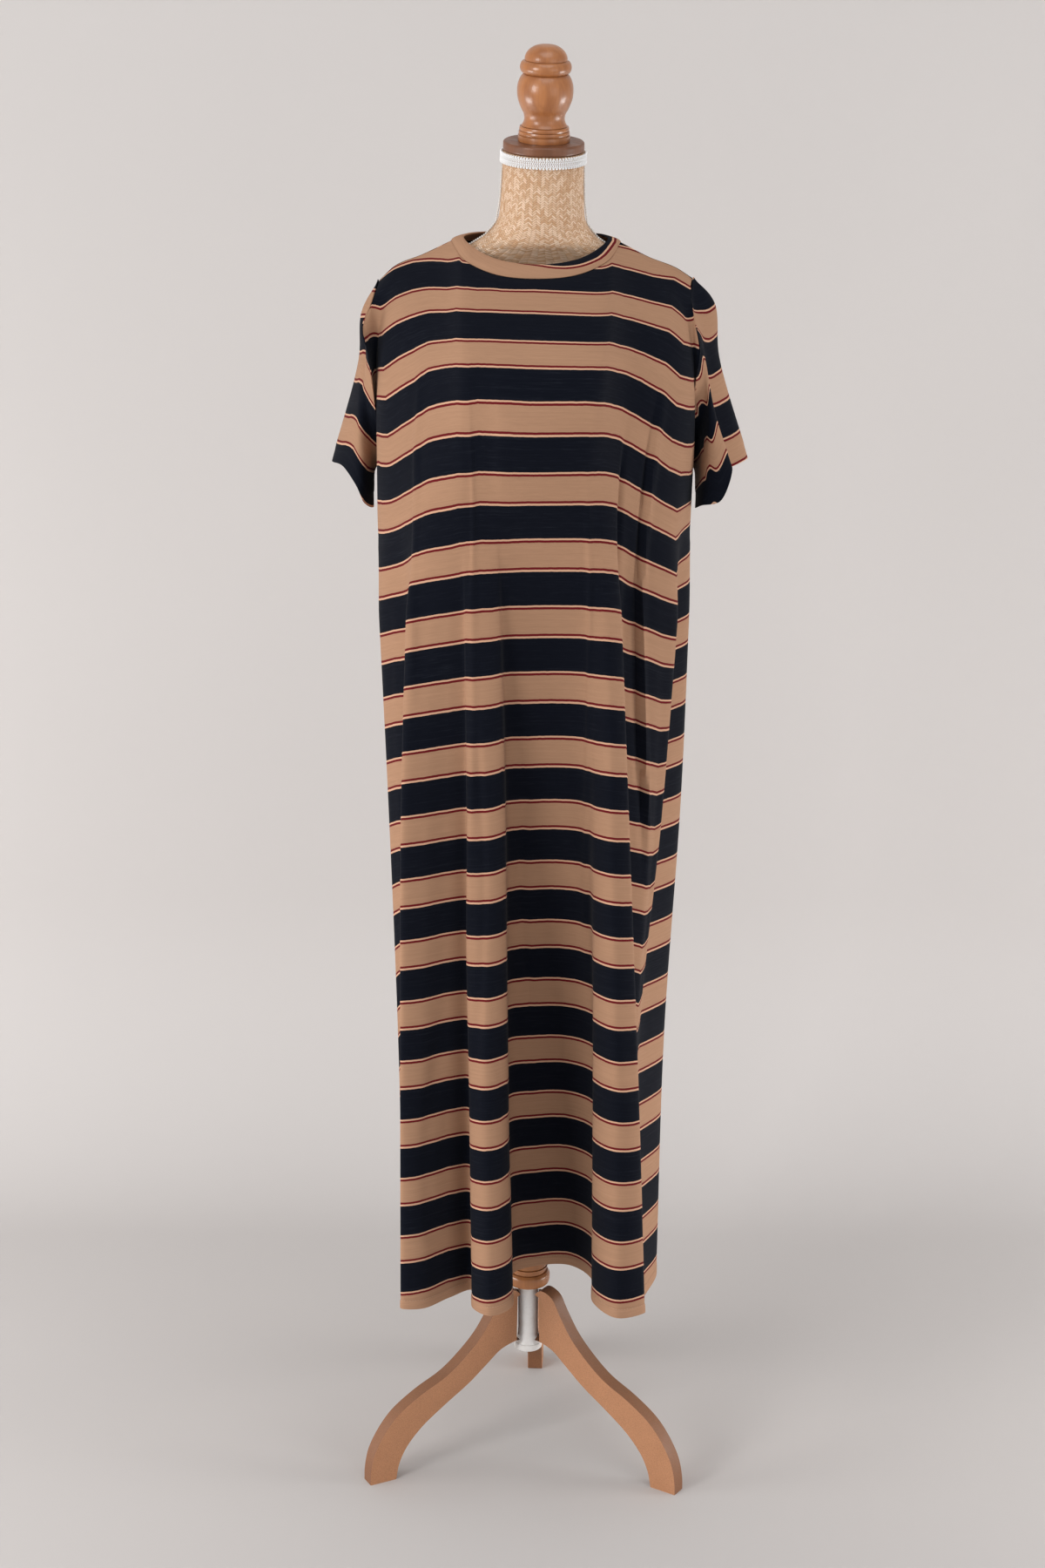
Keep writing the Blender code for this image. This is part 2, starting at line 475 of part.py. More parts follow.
def make_dress():
    ring, rising, count = body_grid()
    total = ring.shape[1]
    front = list(range(count + 1))
    back = list(range(count, total)) + [0]
    front_grid, front_tops = panel_grid(FRONT_FOLDS, FRONT_EDGES, ring[:, front], rising[front], 1.0)
    back_grid, back_tops = panel_grid(BACK_FOLDS, BACK_EDGES, ring[:, back], rising[back])
    neck = [t - 2.0 for t in front_tops if 2.0 <= t <= 3.0]
    neck += [t - 1.0 for t in back_tops if 2.0 < t < 3.0]
    left = [t for t in front_tops if t <= 1.0] + [t - 3.0 for t in back_tops if 4.0 < t < 5.0]
    right = [5.0 - t for t in reversed(front_tops) if t >= 4.0]
    right += [2.0 - t for t in reversed(back_tops) if 0.0 < t < 1.0]
    sleeve_left = sleeve_grid(SLEEVE_LEFT, FRONT_EDGES[0], BACK_EDGES[4], left)
    sleeve_right = sleeve_grid(SLEEVE_RIGHT, FRONT_EDGES[4][::-1], BACK_EDGES[0][::-1], right)
    grids = (("dress_front", front_grid, False, CLOTH, NAVY),
             ("dress_back", back_grid, False, CLOTH, NAVY),
             ("sleeve_left", sleeve_left[:, ::-1], True, CLOTH, NAVY),
             ("sleeve_right", sleeve_right, True, CLOTH, NAVY),
             ("neckband", band_grid(neck), True, BAND_THICKNESS, TAN))
    pieces = {}
    for name, grid, closed, thickness, colour in grids:
        # a sleeve's rows run downward, so its normals are turned to face out of the tube
        facing = -1.0 if name.startswith("sleeve") else 1.0
        pieces[name] = {"grid": grid, "normals": grid_normals(grid, closed) * facing,
                        "shared": np.zeros(grid.shape[:2], bool), "closed": closed,
                        "thickness": thickness, "colour": colour}
    share_normals(pieces)
    for name, piece in pieces.items():
        grid, normals, closed = piece["grid"], piece["normals"], piece["closed"]
        if name.startswith("sleeve"):
            odd = np.flatnonzero(~piece["shared"][0])
            count = grid.shape[1]
            normals[0, odd] = unit(normals[0, (odd - 1) % count] + normals[0, (odd + 1) % count])
        scale = fold_scale(grid, normals, closed)
        scale[piece["shared"]] = 1.0
        grid = grid.copy()
        if name.startswith("sleeve"):
            held_back(grid, normals, row=0, gap=SLEEVE_GAP)
            stand_off_underarm(grid)
        elif closed:
            held_back(grid, normals, row=0)
        else:
            held_back(grid, normals, column=0)
            held_back(grid, normals, column=grid.shape[1] - 1)
            held_back(grid, normals, row=len(grid) - 1)
        offsets = normals * (scale * piece["thickness"] / 2)[:, :, None]
        add_mesh(name, *wall(grid, offsets, closed), colour=piece["colour"], roughness=0.9)


# ---- form and stand -----------------------------------------------------------------------------
def leaning(points):
    """Points of the form, turned about the y axis above its waist."""
    moved = np.array(points, float)
    above = moved[:, 2] > LEAN_HEIGHT
    tall = moved[:, 2] - LEAN_HEIGHT
    turn = np.where(above, LEAN, 0.0)
    x = moved[:, 0].copy()
    moved[:, 0] = x * np.cos(turn) + np.where(above, tall, 0.0) * np.sin(turn)
    moved[:, 2] = np.where(above, LEAN_HEIGHT + tall * np.cos(turn) - x * np.sin(turn), moved[:, 2])
    return moved


def rings_to_body(rings):
    """A closed body from a stack of rings of equal length, capped flat at both ends."""
    count = rings.shape[1]
    faces = []
    for r in range(len(rings) - 1):
        for c in range(count):
            d = (c + 1) % count
            faces.append((r * count + c, r * count + d, (r + 1) * count + d, (r + 1) * count + c))
    last = (len(rings) - 1) * count
    faces.append(tuple(range(count - 1, -1, -1)))
    faces.append(tuple(last + c for c in range(count)))
    return rings.reshape(-1, 3), faces


def turned(profile, base=0.0, steps=ROUND):
    angles = np.arange(steps) * 2 * math.pi / steps
    return np.array([np.stack((radius * np.cos(angles), radius * np.sin(angles),
                               np.full(steps, base + height)), axis=1) for radius, height in profile])


def torso_rings():
    table = np.array([row for row in TORSO])
    knots = lengths_along(table[:, :2])
    finer = np.sort(np.concatenate((knots, (knots[1:] + knots[:-1]) / 2)))
    rows = smooth_through(knots, table, finer)
    angles = np.arange(TORSO_ROUND) * 2 * math.pi / TORSO_ROUND
    rings = []
    for height, half_width, front, back, power in rows:
        depth = np.where(np.sin(angles) < 0, front, back)
        cosine, sine = np.cos(angles), np.sin(angles)
        x = half_width * np.sign(cosine) * np.abs(cosine) ** (2 / power)
        y = depth * np.sign(sine) * np.abs(sine) ** (2 / power)
        rings.append(np.stack((x, y, np.full(TORSO_ROUND, height)), axis=1))
    return np.array(rings)


def make_form():
    rings = torso_rings()
    shape = rings.shape
    body = leaning(rings.reshape(-1, 3)).reshape(shape)
    torso = add_mesh("form_torso", *rings_to_body(body), colour=JUTE, roughness=0.95)
    hole = turned(((POLE_RADIUS + SEAM_GAP, 0.70), (POLE_RADIUS + SEAM_GAP, 0.90)))
    cut(torso, rings_to_body(hole), "torso_socket")
    cap = turned(CAP, 1.5750, 48)
    add_lean("neck_cap", cap, DARK_WOOD, 0.35)
    finial = turned(FINIAL, 1.5850, 44)
    add_lean("finial", finial, WARM_WOOD, 0.3)
    braid = turned(((0.0450, 1.5622), (0.0464, 1.5632), (0.0464, 1.5737), (0.0450, 1.5747),
                    (0.0440, 1.5742), (0.0440, 1.5627)), 0.0, 48)
    count = braid.shape[1]
    vertices = leaning(braid.reshape(-1, 3))
    faces = [(r * count + c, r * count + (c + 1) % count,
              (r + 1) % 6 * count + (c + 1) % count, (r + 1) % 6 * count + c)
             for r in range(6) for c in range(count)]
    add_mesh("neck_braid", vertices, faces, colour=BRAID, roughness=0.8)


def add_lean(name, rings, colour, roughness):
    shape = rings.shape
    moved = leaning(rings.reshape(-1, 3)).reshape(shape)
    vertices, faces = rings_to_body(moved)
    add_mesh(name, vertices, faces, colour=colour, roughness=roughness)


def make_stand():
    column = turned(((POLE_RADIUS - 0.0006, 0.2423), (POLE_RADIUS, 0.2440), (POLE_RADIUS, 0.8990),
                     (POLE_RADIUS - 0.0008, 0.8997)))
    add_mesh("column", *rings_to_body(column), colour=WARM_WOOD, roughness=0.35)
    add_mesh("hub_ring", *rings_to_body(turned(HUB_RING)), colour=WARM_WOOD, roughness=0.35)
    add_mesh("hub_tube", *rings_to_body(turned(HUB_TUBE)), colour=WHITE, roughness=0.4)
    for name, angle in LEG_ANGLES:
        add_leg(name, math.radians(angle))


def add_leg(name, angle):
    """A sawn board; the inner ends of the two front boards are cut to lie flat along the tube's sides."""
    along = np.array((math.cos(angle), math.sin(angle), 0.0))
    side = np.array((-math.sin(angle), math.cos(angle), 0.0))
    count = len(LEG_OUTLINE)
    rows = []
    for offset in (-LEG_THICKNESS / 2, LEG_THICKNESS / 2):
        for number, (radius, height) in enumerate(LEG_OUTLINE):
            if number in (0, count - 1) and abs(along[0]) > 0.5:
                radius = (radius - math.copysign(side[0] * offset, side[0] * offset * along[0])) / abs(along[0])
            rows.append(along * radius + side * offset + np.array((0.0, 0.0, height)))
    faces = [tuple(range(count)), tuple(range(2 * count - 1, count - 1, -1))]
    faces += [((i + 1) % count, i, count + i, count + (i + 1) % count) for i in range(count)]
    add_mesh(name, np.array(rows), faces, colour=BOARD, roughness=0.7)


# ---- objects ------------------------------------------------------------------------------------
NAVY = (0.012, 0.016, 0.027)
TAN = (0.40, 0.24, 0.14)
JUTE = (0.42, 0.30, 0.18)
BRAID = (0.80, 0.78, 0.72)
WARM_WOOD = (0.42, 0.16, 0.05)
DARK_WOOD = (0.10, 0.045, 0.025)
BOARD = (0.35, 0.24, 0.15)
WHITE = (0.80, 0.80, 0.78)


def add_mesh(name, vertices, faces, colour, roughness):
    mesh = bpy.data.meshes.new(name)
    mesh.from_pydata([tuple(map(float, v)) for v in vertices], [], faces)
    builder = bmesh.new()
    builder.from_mesh(mesh)
    bmesh.ops.recalc_face_normals(builder, faces=builder.faces)
    builder.to_mesh(mesh)
    builder.free()
    for face in mesh.polygons:
        face.use_smooth = True
    material = bpy.data.materials.new(name)
    material.use_nodes = True
    shader = material.node_tree.nodes["Principled BSDF"]
    shader.inputs["Base Color"].default_value = (*colour, 1.0)
    shader.inputs["Roughness"].default_value = roughness
    shader.inputs["Metallic"].default_value = 0.0
    mesh.materials.append(material)
    made = bpy.data.objects.new(name, mesh)
    bpy.context.scene.collection.objects.link(made)
    return made


def cut(target, body, name):
    """A round hole in a target, by a hidden cutter."""
    mesh = bpy.data.meshes.new(name)
    mesh.from_pydata([tuple(map(float, v)) for v in body[0]], [], body[1])
    cutter = bpy.data.objects.new(name, mesh)
    bpy.context.scene.collection.objects.link(cutter)
    cutter.hide_render = True
    cutter.display_type = "WIRE"
    hole = target.modifiers.new(name, "BOOLEAN")
    hole.operation = "DIFFERENCE"
    hole.solver = "EXACT"
    hole.object = cutter


def stand_on_floor():
    """Everything moved so that the box round it is centred on the origin."""
    low = np.full(3, 1e9)
    high = np.full(3, -1e9)
    shown = [o for o in bpy.context.scene.objects if o.type == "MESH" and not o.hide_render]
    for thing in shown:
        points = np.array([v.co[:] for v in thing.data.vertices])
        low = np.minimum(low, points.min(axis=0))
        high = np.maximum(high, points.max(axis=0))
    shift = Matrix.Translation(Vector((-(low[0] + high[0]) / 2, -(low[1] + high[1]) / 2, -low[2])))
    for thing in bpy.context.scene.objects:
        if thing.type == "MESH":
            thing.data.transform(shift)


def main():
    for thing in list(bpy.data.objects):
        bpy.data.objects.remove(thing, do_unlink=True)
    make_dress()
    make_form()
    make_stand()
    stand_on_floor()


main()
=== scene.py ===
"""The looks of a striped t-shirt dress on a jute dress form with a three-legged stand.

Metres, +Z up, the row's frame. The cloth follows the same fold lines as the solids, with more facets,
and carries its flat coordinates (u across, v up from the hem) in a UV map that every fabric reads.
"""

import math

import bpy
import numpy as np
from mathutils import Matrix, Vector


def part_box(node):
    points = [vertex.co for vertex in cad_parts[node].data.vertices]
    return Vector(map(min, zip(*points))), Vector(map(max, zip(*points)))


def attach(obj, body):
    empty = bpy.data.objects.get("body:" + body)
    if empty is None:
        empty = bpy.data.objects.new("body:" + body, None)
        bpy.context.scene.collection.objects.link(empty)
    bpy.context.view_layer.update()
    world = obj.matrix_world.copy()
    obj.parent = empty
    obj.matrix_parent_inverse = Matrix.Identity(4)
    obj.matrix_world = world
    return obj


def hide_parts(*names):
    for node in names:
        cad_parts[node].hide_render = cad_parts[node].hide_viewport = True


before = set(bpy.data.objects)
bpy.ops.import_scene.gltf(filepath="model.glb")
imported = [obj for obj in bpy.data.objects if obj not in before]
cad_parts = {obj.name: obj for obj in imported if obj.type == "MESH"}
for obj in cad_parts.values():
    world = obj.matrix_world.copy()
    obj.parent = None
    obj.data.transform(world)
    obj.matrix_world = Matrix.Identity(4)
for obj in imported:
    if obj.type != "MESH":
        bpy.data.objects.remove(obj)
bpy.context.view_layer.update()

# ---- sizes ----
STATIONS = (0.290, 0.600, 0.900, 1.200)
STRIPE_REPEAT = 0.0745
NAVY_CENTRE = 0.039     # height of the first navy band's middle above the hem
NAVY_WIDTH = 0.0375
CREAM_WIDTH = 0.0021
RED_WIDTH = 0.0028
CLOTH = 0.0011          # thickness of the jersey as it is shown
BAND_THICKNESS = 0.0026
LOOP = 0.0009           # width of a knitted loop
RIB_LOOP = 0.0013
PLAIT_WIDTH = 0.0043    # columns of the jute's plait
STRAND_WIDTH = 0.0026   # strands of the plait, measured up the form
NAVY = (0.0036, 0.0048, 0.0092)
TAN = (0.365, 0.208, 0.127)
RED = (0.125, 0.0085, 0.012)
CREAM = (0.560, 0.330, 0.215)
TURN = 2 * math.pi
LEAN = math.radians(1.2)
LEAN_HEIGHT = 1.090
pole_low, pole_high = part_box("column")
POLE = np.array(((pole_low[0] + pole_high[0]) / 2, (pole_low[1] + pole_high[1]) / 2, 0.0))


def metres(sizes):
    """Sizes given in millimetres, as deep as their tuples go."""
    return tuple(map(metres, sizes)) if isinstance(sizes, tuple) else sizes / 1000


def fold_lines(table):
    return tuple((name, *metres(tuple(sizes)), top, arrive) for name, *sizes, top, arrive in table)


def sleeve_folds(table):
    return tuple((name, armhole, *metres(tuple(sizes))) for name, armhole, *sizes in table)


# Fold lines of the cloth, as in the solids. In millimetres: plan place at the hem, knee, hip and chest,
# and how far the stripes hang below the middle's at the hem and at the chest. Then the place along the
# upper edges and the direction of arrival there.
NECK = (0.0, 1.50, 0.90)
FRONT_FOLDS = fold_lines((
    ("seam_left", (-140, -168), (-143, -163), (-154, -112), (-167.5, -66), 10, 48, 0, (0.1, 0.3, 1)),
    ("wing_edge", (-143, -176), (-146, -170), (-156.5, -128), (-169, -96), 6, 45, 0.68,
     (-0.1, 0.75, 0.6)),
    ("shoulder_fold_left", (-141, -181), (-142, -176), (-147, -147), (-151, -121), 4, 36, 1,
     (0, 0.95, 0.35)),
    ("wing_valley", (-138, -186), (-137, -182), (-134, -168), (-130, -143), 2, 26, 1.25, (0, 0.9, 0.45)),
    ("left_ridge", (-145, -203), (-143, -203), (-140, -198), (-131, -166), 0, 10, 1.5, (0, 0.9, 0.55)),
    ("left_panel", (-121, -203), (-120, -201), (-117, -197), (-110, -178), 0, 3, 1.75, (0, 0.95, 0.7)),
    ("left_slope", (-92, -177), (-92, -184), (-91, -190), (-89.5, -186), 0, 0, 2, (0, 1, 0.8)),
    ("pleat_valley", (-66, -157), (-69, -174), (-71, -187), (-74.5, -189), 0, 0, 2.12, NECK),
    ("pleat_left", (-62.5, -202), (-66, -202), (-68, -199), (-71, -190), 0, 0, 2.15, NECK),
    ("pleat_crown", (-43, -220), (-47.5, -214), (-50, -206), (-54, -192), 0, 0, 2.25, NECK),
    ("pleat_right", (-20.5, -200), (-27, -201), (-31, -199), (-38.5, -191), 0, 0, 2.32, NECK),
    ("hollow_left", (-18.5, -116), (-23.5, -140), (-25.5, -172), (-33, -190), 0, 0, 2.35, NECK),
    ("hollow_mid", (9, -97), (3, -126), (-1, -163), (-7, -189), 0, 0, 2.48, NECK),
    ("hollow_right", (46, -94), (40, -125), (34, -163), (29, -188), 0, 0, 2.66, NECK),
    ("hollow_wall", (72.5, -126), (69.5, -146), (59, -173), (54, -187), 0, 0, 2.8, NECK),
    ("right_panel", (74.5, -187), (72.5, -192), (70.5, -193), (67, -186), 0, 0, 2.87, NECK),
    ("right_crown", (101, -224), (95, -218), (87.5, -208), (80, -183), 0, 0, 3, (0, 1, 0.8)),
    ("right_ridge", (130.5, -212), (118, -210), (104.5, -202), (90.5, -175), 0, 6, 3.25, (0, 0.95, 0.7)),
    ("ridge_back", (127, -178), (115, -176), (102, -172), (95, -156), 10, 16, 3.375, (0, 0.85, 0.6)),
    ("second_ridge", (130, -164), (119, -162), (129.5, -152), (122.5, -150), 16, 24, 3.75,
     (0, 0.9, 0.45)),
    ("shoulder_fold_right", (131, -155), (120, -153), (137, -139), (144, -137), 20, 32, 4,
     (0, 0.95, 0.35)),
    ("front_edge", (132, -146), (121, -144), (144.5, -126), (162, -118), 24, 38, 4.32, (0.1, 0.75, 0.6)),
    ("edge_valley", (131, -118), (124, -114), (140, -98), (156, -90), 34, 42, 4.62, (-0.2, 0.3, 1)),
    ("side_ridge", (150, -42), (153.5, -42), (167, -48), (174.5, -55), 42, 48, 4.84, (-0.1, 0.3, 1)),
    ("seam_right", (151, -6), (154.5, -8), (168, -12), (172, -26), 44, 50, 5, (-0.1, 0.2, 1)),
))
BACK_FOLDS = fold_lines((
    ("seam_right", (151, -6), (154.5, -8), (168, -12), (172, -26), 44, 50, 0, (-0.1, 0.2, 1)),
    ("side_right", (148, 52), (150, 48), (158, 40), (162, 30), 40, 44, 0.75, (0.45, -0.35, 0.75)),
    ("corner_right", (124, 106), (127, 101), (132, 93), (134, 80), 30, 30, 1.25, (0.15, -0.9, 0.5)),
    ("valley_right", (86, 82), (88, 87), (92, 94), (95, 96), 20, 16, 1.75, (0, -1, 0.45)),
    ("ridge_right", (52, 122), (53, 118), (54, 112), (55, 105), 14, 8, 2.25, (0, -0.6, 0.8)),
    ("valley_mid", (7, 86), (7, 92), (6, 101), (5, 106), 12, 4, 2.5, (0, -0.6, 0.8)),
    ("ridge_left", (-43, 124), (-45, 119), (-48, 112), (-50, 105), 14, 8, 2.75, (0, -0.6, 0.8)),
    ("valley_left", (-83, 86), (-85, 90), (-88, 96), (-90, 97), 18, 14, 3.25, (0, -1, 0.45)),
    ("corner_left", (-118, 106), (-121, 100), (-127, 91), (-130, 80), 22, 28, 3.75, (-0.15, -0.9, 0.5)),
    ("side_left", (-140, 40), (-143, 34), (-152, 26), (-159, 18), 24, 44, 4.25, (-0.45, -0.35, 0.75)),
    ("under_left", (-137, -80), (-140, -78), (-150, -60), (-164, -30), 18, 48, 4.85, (0.1, 0, 1)),
    ("seam_left", (-140, -168), (-143, -163), (-154, -112), (-167.5, -66), 10, 48, 5, (0.1, 0.3, 1)),
))

# Upper edges of a panel in millimetres, in the order of its folds: armhole, shoulder, neckline, shoulder,
# armhole.
UNDERARM_LEFT = (-166.5, -22, 1238)
UNDERARM_RIGHT = (171, -16, 1238)
TIP_LEFT = (-167.5, 2, 1432.5)
TIP_RIGHT = (172.5, 2, 1436.5)
NECK_LEFT = (-89, 0, 1477)
NECK_RIGHT = (94, 0, 1476)
FRONT_EDGES = metres((
    (UNDERARM_LEFT, (-169.5, -48, 1285), (-172.8, -66, 1340), (-176.5, -64, 1368), (-183, -52, 1390),
     (-174.5, -26, 1413), TIP_LEFT),
    (TIP_LEFT, (-151, 1, 1448.5), (-120, 0, 1462), NECK_LEFT),
    (NECK_LEFT, (-72, -40, 1462.5), (-40, -61, 1453), (3, -67, 1450), (46, -61, 1453), (77, -40, 1462),
     NECK_RIGHT),
    (NECK_RIGHT, (125, 0, 1460), (156, 1, 1447.5), TIP_RIGHT),
    (TIP_RIGHT, (169.5, -18, 1420), (172, -34, 1402), (178.5, -52, 1372), (174.5, -61, 1335),
     (172.5, -45, 1285), UNDERARM_RIGHT),
))
BACK_EDGES = metres((
    (UNDERARM_RIGHT, (170, 10, 1285), (168.5, 30, 1350), (168, 26, 1405), TIP_RIGHT),
    (TIP_RIGHT, (156, 1, 1447.5), (125, 0, 1460), NECK_RIGHT),
    (NECK_RIGHT, (78, 36, 1470), (42, 58, 1464), (3, 64, 1462), (-37, 58, 1464), (-73, 36, 1470),
     NECK_LEFT),
    (NECK_LEFT, (-120, 0, 1462), (-151, 1, 1448.5), TIP_LEFT),
    (TIP_LEFT, (-163.5, 26, 1402), (-164, 30, 1350), (-165.5, 10, 1285), UNDERARM_LEFT),
))
BAND_TOP = metres(((2.5, -55, 1462.5), (50, -41, 1466.5), (80, -4, 1480), (54, 37, 1478),
                   (2.5, 51, 1475.5), (-49, 37, 1478.5), (-75.5, -4, 1481), (-45, -41, 1467)))

# A sleeve fold line: where it leaves the armhole (0 underarm, 1 shoulder tip by way of the front,
# 2 underarm again by way of the back), then its place at the cap, half way down and at the hem, in
# millimetres.
SLEEVE_LEFT = sleeve_folds((
    ("under", 0, (-173.5, -16, 1224), (-174.5, -20, 1205), (-174.5, -24, 1185)),
    ("front_low", 0.3, (-177, -44, 1272), (-182, -48, 1235), (-184, -46, 1196)),
    ("front", 0.58, (-181, -50, 1330), (-189, -52, 1275), (-193, -50, 1217)),
    ("front_outer", 0.82, (-179, -24, 1388), (-189, -34, 1325), (-207, -34, 1233)),
    ("outer", 1, (-186, 0, 1398.5), (-190, 0, 1345), (-221.1, 0, 1230.3)),
    ("back_outer", 1.25, (-182, 30, 1375), (-192, 38, 1310), (-211, 34, 1230)),
    ("back_low", 1.65, (-177, 26, 1300), (-183, 34, 1250), (-190, 28, 1206)),
))
SLEEVE_RIGHT = sleeve_folds((
    ("under", 0, (178.5, -10, 1224), (179.5, -14, 1206), (180, -20, 1187)),
    ("front_low", 0.28, (181, -46, 1275), (184, -62, 1240), (184, -76, 1203)),
    ("front_fold", 0.5, (185, -56, 1325), (193, -72, 1275), (204, -80, 1209)),
    ("fold_edge", 0.66, (185, -50, 1355), (197, -62, 1300), (216.5, -70, 1244)),
    ("valley", 0.84, (181, -26, 1390), (187, -34, 1320), (199, -40, 1228)),
    ("outer", 1, (195.5, 0, 1411), (202, 0, 1350), (236.9, 0, 1235.2)),
    ("back_outer", 1.25, (189, 30, 1380), (202, 38, 1310), (224, 34, 1232)),
    ("back_low", 1.65, (180, 26, 1300), (188, 34, 1250), (198, 28, 1206)),
))

# How far the stripes lie above plain height on each front fold line, in millimetres, at the hem, knee,
# hip, chest, bust and top end.
STRIPE_SHIFTS = (
    (8, 14, 22, 26, 27, 28),       # seam_left
    (12, 15, 23, 24, 24, 29),      # wing_edge
    (9, 9, 19, 21, 29, 32),        # shoulder_fold_left
    (5, 8, 16, 19, 24, 22),        # wing_valley
    (-1, 6, 13, 20, 21, 16),       # left_ridge
    (-5, 7, 15, 18, 13, 16),       # left_panel
    (-5, 7, 15, 15, 9, 17),        # left_slope
    (1, 9, 13, 11, 7, 12),         # pleat_valley
    (4, 6, 10, 9, 7, 12),          # pleat_left
    (0, 3, 8, 7, 5, 14),           # pleat_crown
    (-1, 2, 4, 7, 5, 13),          # pleat_right
    (0, 10, 11, 7, 4, 11),         # hollow_left
    (3, 13, 13, 6, 5, 11),         # hollow_mid
    (2, 13, 12, 6, 5, 14),         # hollow_right
    (2, 13, 11, 6, 6, 18),         # hollow_wall
    (1, 3, 9, 7, 10, 21),          # right_panel
    (-3, 2, 7, 8, 14, 30),         # right_crown
    (-4, 3, 6, 7, 14, 33),         # right_ridge
    (0, 7, 18, 10, 16, 35),        # ridge_back
    (4, 9, 27, 16, 23, 32),        # second_ridge
    (-2, 3, 26, 22, 34, 42),       # shoulder_fold_right
    (-8, -8, 20, 29, 36, 40),      # front_edge
    (-14, -9, 0, 22, 36, 38),      # edge_valley
    (-8, 0, 0, 12, 30, 34),        # side_ridge
    (0, 4, 4, 15, 29, 31),         # seam_right
)
BACK_SHIFT = 0.024      # the back's stripes don't meet the front's at the side seams


# ---- curves ----
def smooth_through(knots, values, wanted, closed=None):
    """Values at the wanted knots of a smooth curve; closed is the knot length of a full turn."""
    knots = np.asarray(knots, float)
    values = np.asarray(values, float)
    wanted = np.asarray(wanted, float)
    if closed is not None:
        knots = np.concatenate(([knots[-1] - closed], knots, [knots[0] + closed, knots[1] + closed]))
        values = np.concatenate((values[-1:], values, values[:2]))
    steps = np.diff(knots)[:, None]
    slopes = np.diff(values, axis=0) / steps
    tangents = np.empty_like(values)
    tangents[1:-1] = (slopes[:-1] * steps[1:] + slopes[1:] * steps[:-1]) / (steps[1:] + steps[:-1])
    tangents[0] = slopes[0]
    tangents[-1] = slopes[-1]
    index = np.clip(np.searchsorted(knots, wanted, side="right") - 1, 0, len(knots) - 2)
    length = steps[index]
    share = ((wanted - knots[index]) / length[:, 0])[:, None]
    return hermite(values[index], values[index + 1], tangents[index] * length,
                   tangents[index + 1] * length, share)


def hermite(start, end, leave, arrive, share):
    square = share * share
    cube = square * share
    return ((2 * cube - 3 * square + 1) * start + (cube - 2 * square + share) * leave
            + (3 * square - 2 * cube) * end + (cube - square) * arrive)


def lengths_along(points, power=1.0):
    """Running knots of a line of points; power 0.5 keeps a smooth curve from overshooting."""
    steps = np.linalg.norm(np.diff(points, axis=0), axis=1) ** power
    return np.concatenate(([0.0], np.cumsum(steps)))


def finer_knots(knots, steps=6):
    """Every span between two knots, cut into even steps."""
    return np.concatenate([np.linspace(low, high, steps, endpoint=False)
                           for low, high in zip(knots[:-1], knots[1:])] + [knots[-1:]])


def unit(vectors):
    return vectors / np.maximum(np.linalg.norm(vectors, axis=-1, keepdims=True), 1e-12)


def on_edges(edges, places):
    """Points on a chain of edges, where place 2.5 is half way along the third edge."""
    found = []
    for place in places:
        number = min(int(place), len(edges) - 1)
        points = np.array(edges[number])
        knots = lengths_along(points)
        found.append(smooth_through(knots, points, [(place - number) * knots[-1]])[0])
    return np.array(found)


def smooth_step(value):
    value = np.clip(value, 0.0, 1.0)
    return value * value * (3 - 2 * value)


# ---- cloth surfaces ----
def thread_places(folds, pitch):
    """The fold before each vertical thread of the fine cloth, and its share of the way to the next."""
    places = []
    for number in range(len(folds) - 1):
        here = np.array(folds[number][1:5])
        after = np.array(folds[number + 1][1:5])
        steps = max(2, int(np.ceil(np.linalg.norm(after - here, axis=1).max() / pitch)))
        places += [(number, step / steps) for step in range(steps)]
    return places


def round_ring(points, places):
    """A smooth closed line through points, sampled at (point number, share of the way on)."""
    points = np.array(points)
    knots = lengths_along(np.vstack((points, points[:1])), 0.5)
    wanted = [knots[number] + share * (knots[number + 1] - knots[number]) for number, share in places]
    return smooth_through(knots[:-1], points, wanted, closed=knots[-1])


def body_rings(heights, places):
    """Rings of the dress at plain heights, each point dropped as far as its fold's stripes hang."""
    folds = FRONT_FOLDS[:-1] + BACK_FOLDS[:-1]
    stations = np.array(STATIONS)
    rings = []
    for height in heights:
        points = []
        for fold in folds:
            plan = smooth_through(stations, np.array(fold[1:5]), [height])[0]
            share = (height - stations[0]) / (stations[-1] - stations[0])
            points.append((plan[0], plan[1], height - fold[5] - (fold[6] - fold[5]) * share))
        rings.append(round_ring(points, places))
    return np.array(rings)


def panel_above(folds, edges, places, start, rising, rows, bust=0.0):
    """A panel from its chest line up to its edges, and where its threads end on those edges."""
    ends_at, arrivals = [], []
    for number, share in places + [(len(folds) - 1, 0.0)]:
        after = min(number + 1, len(folds) - 1)
        ends_at.append(folds[number][7] + share * (folds[after][7] - folds[number][7]))
        arrivals.append(np.array(folds[number][8]) * (1 - share) + np.array(folds[after][8]) * share)
    ends = on_edges(edges, ends_at)
    chord = np.linalg.norm(ends - start, axis=1)[:, None]
    places_up = np.array(ends_at)[:, None]
    full = bust * smooth_step((places_up - 0.7) / 0.9) * smooth_step((4.3 - places_up) / 0.9)
    leave = rising * (1 + 0.45 * full) + np.array((0.0, -0.09, 0.0)) * full
    grid = [hermite(start, ends, leave * chord, np.array(arrivals) * chord, np.full((len(ends), 1), s))
            for s in np.linspace(0, 1, rows + 1)[1:]]
    return np.array(grid), ends_at


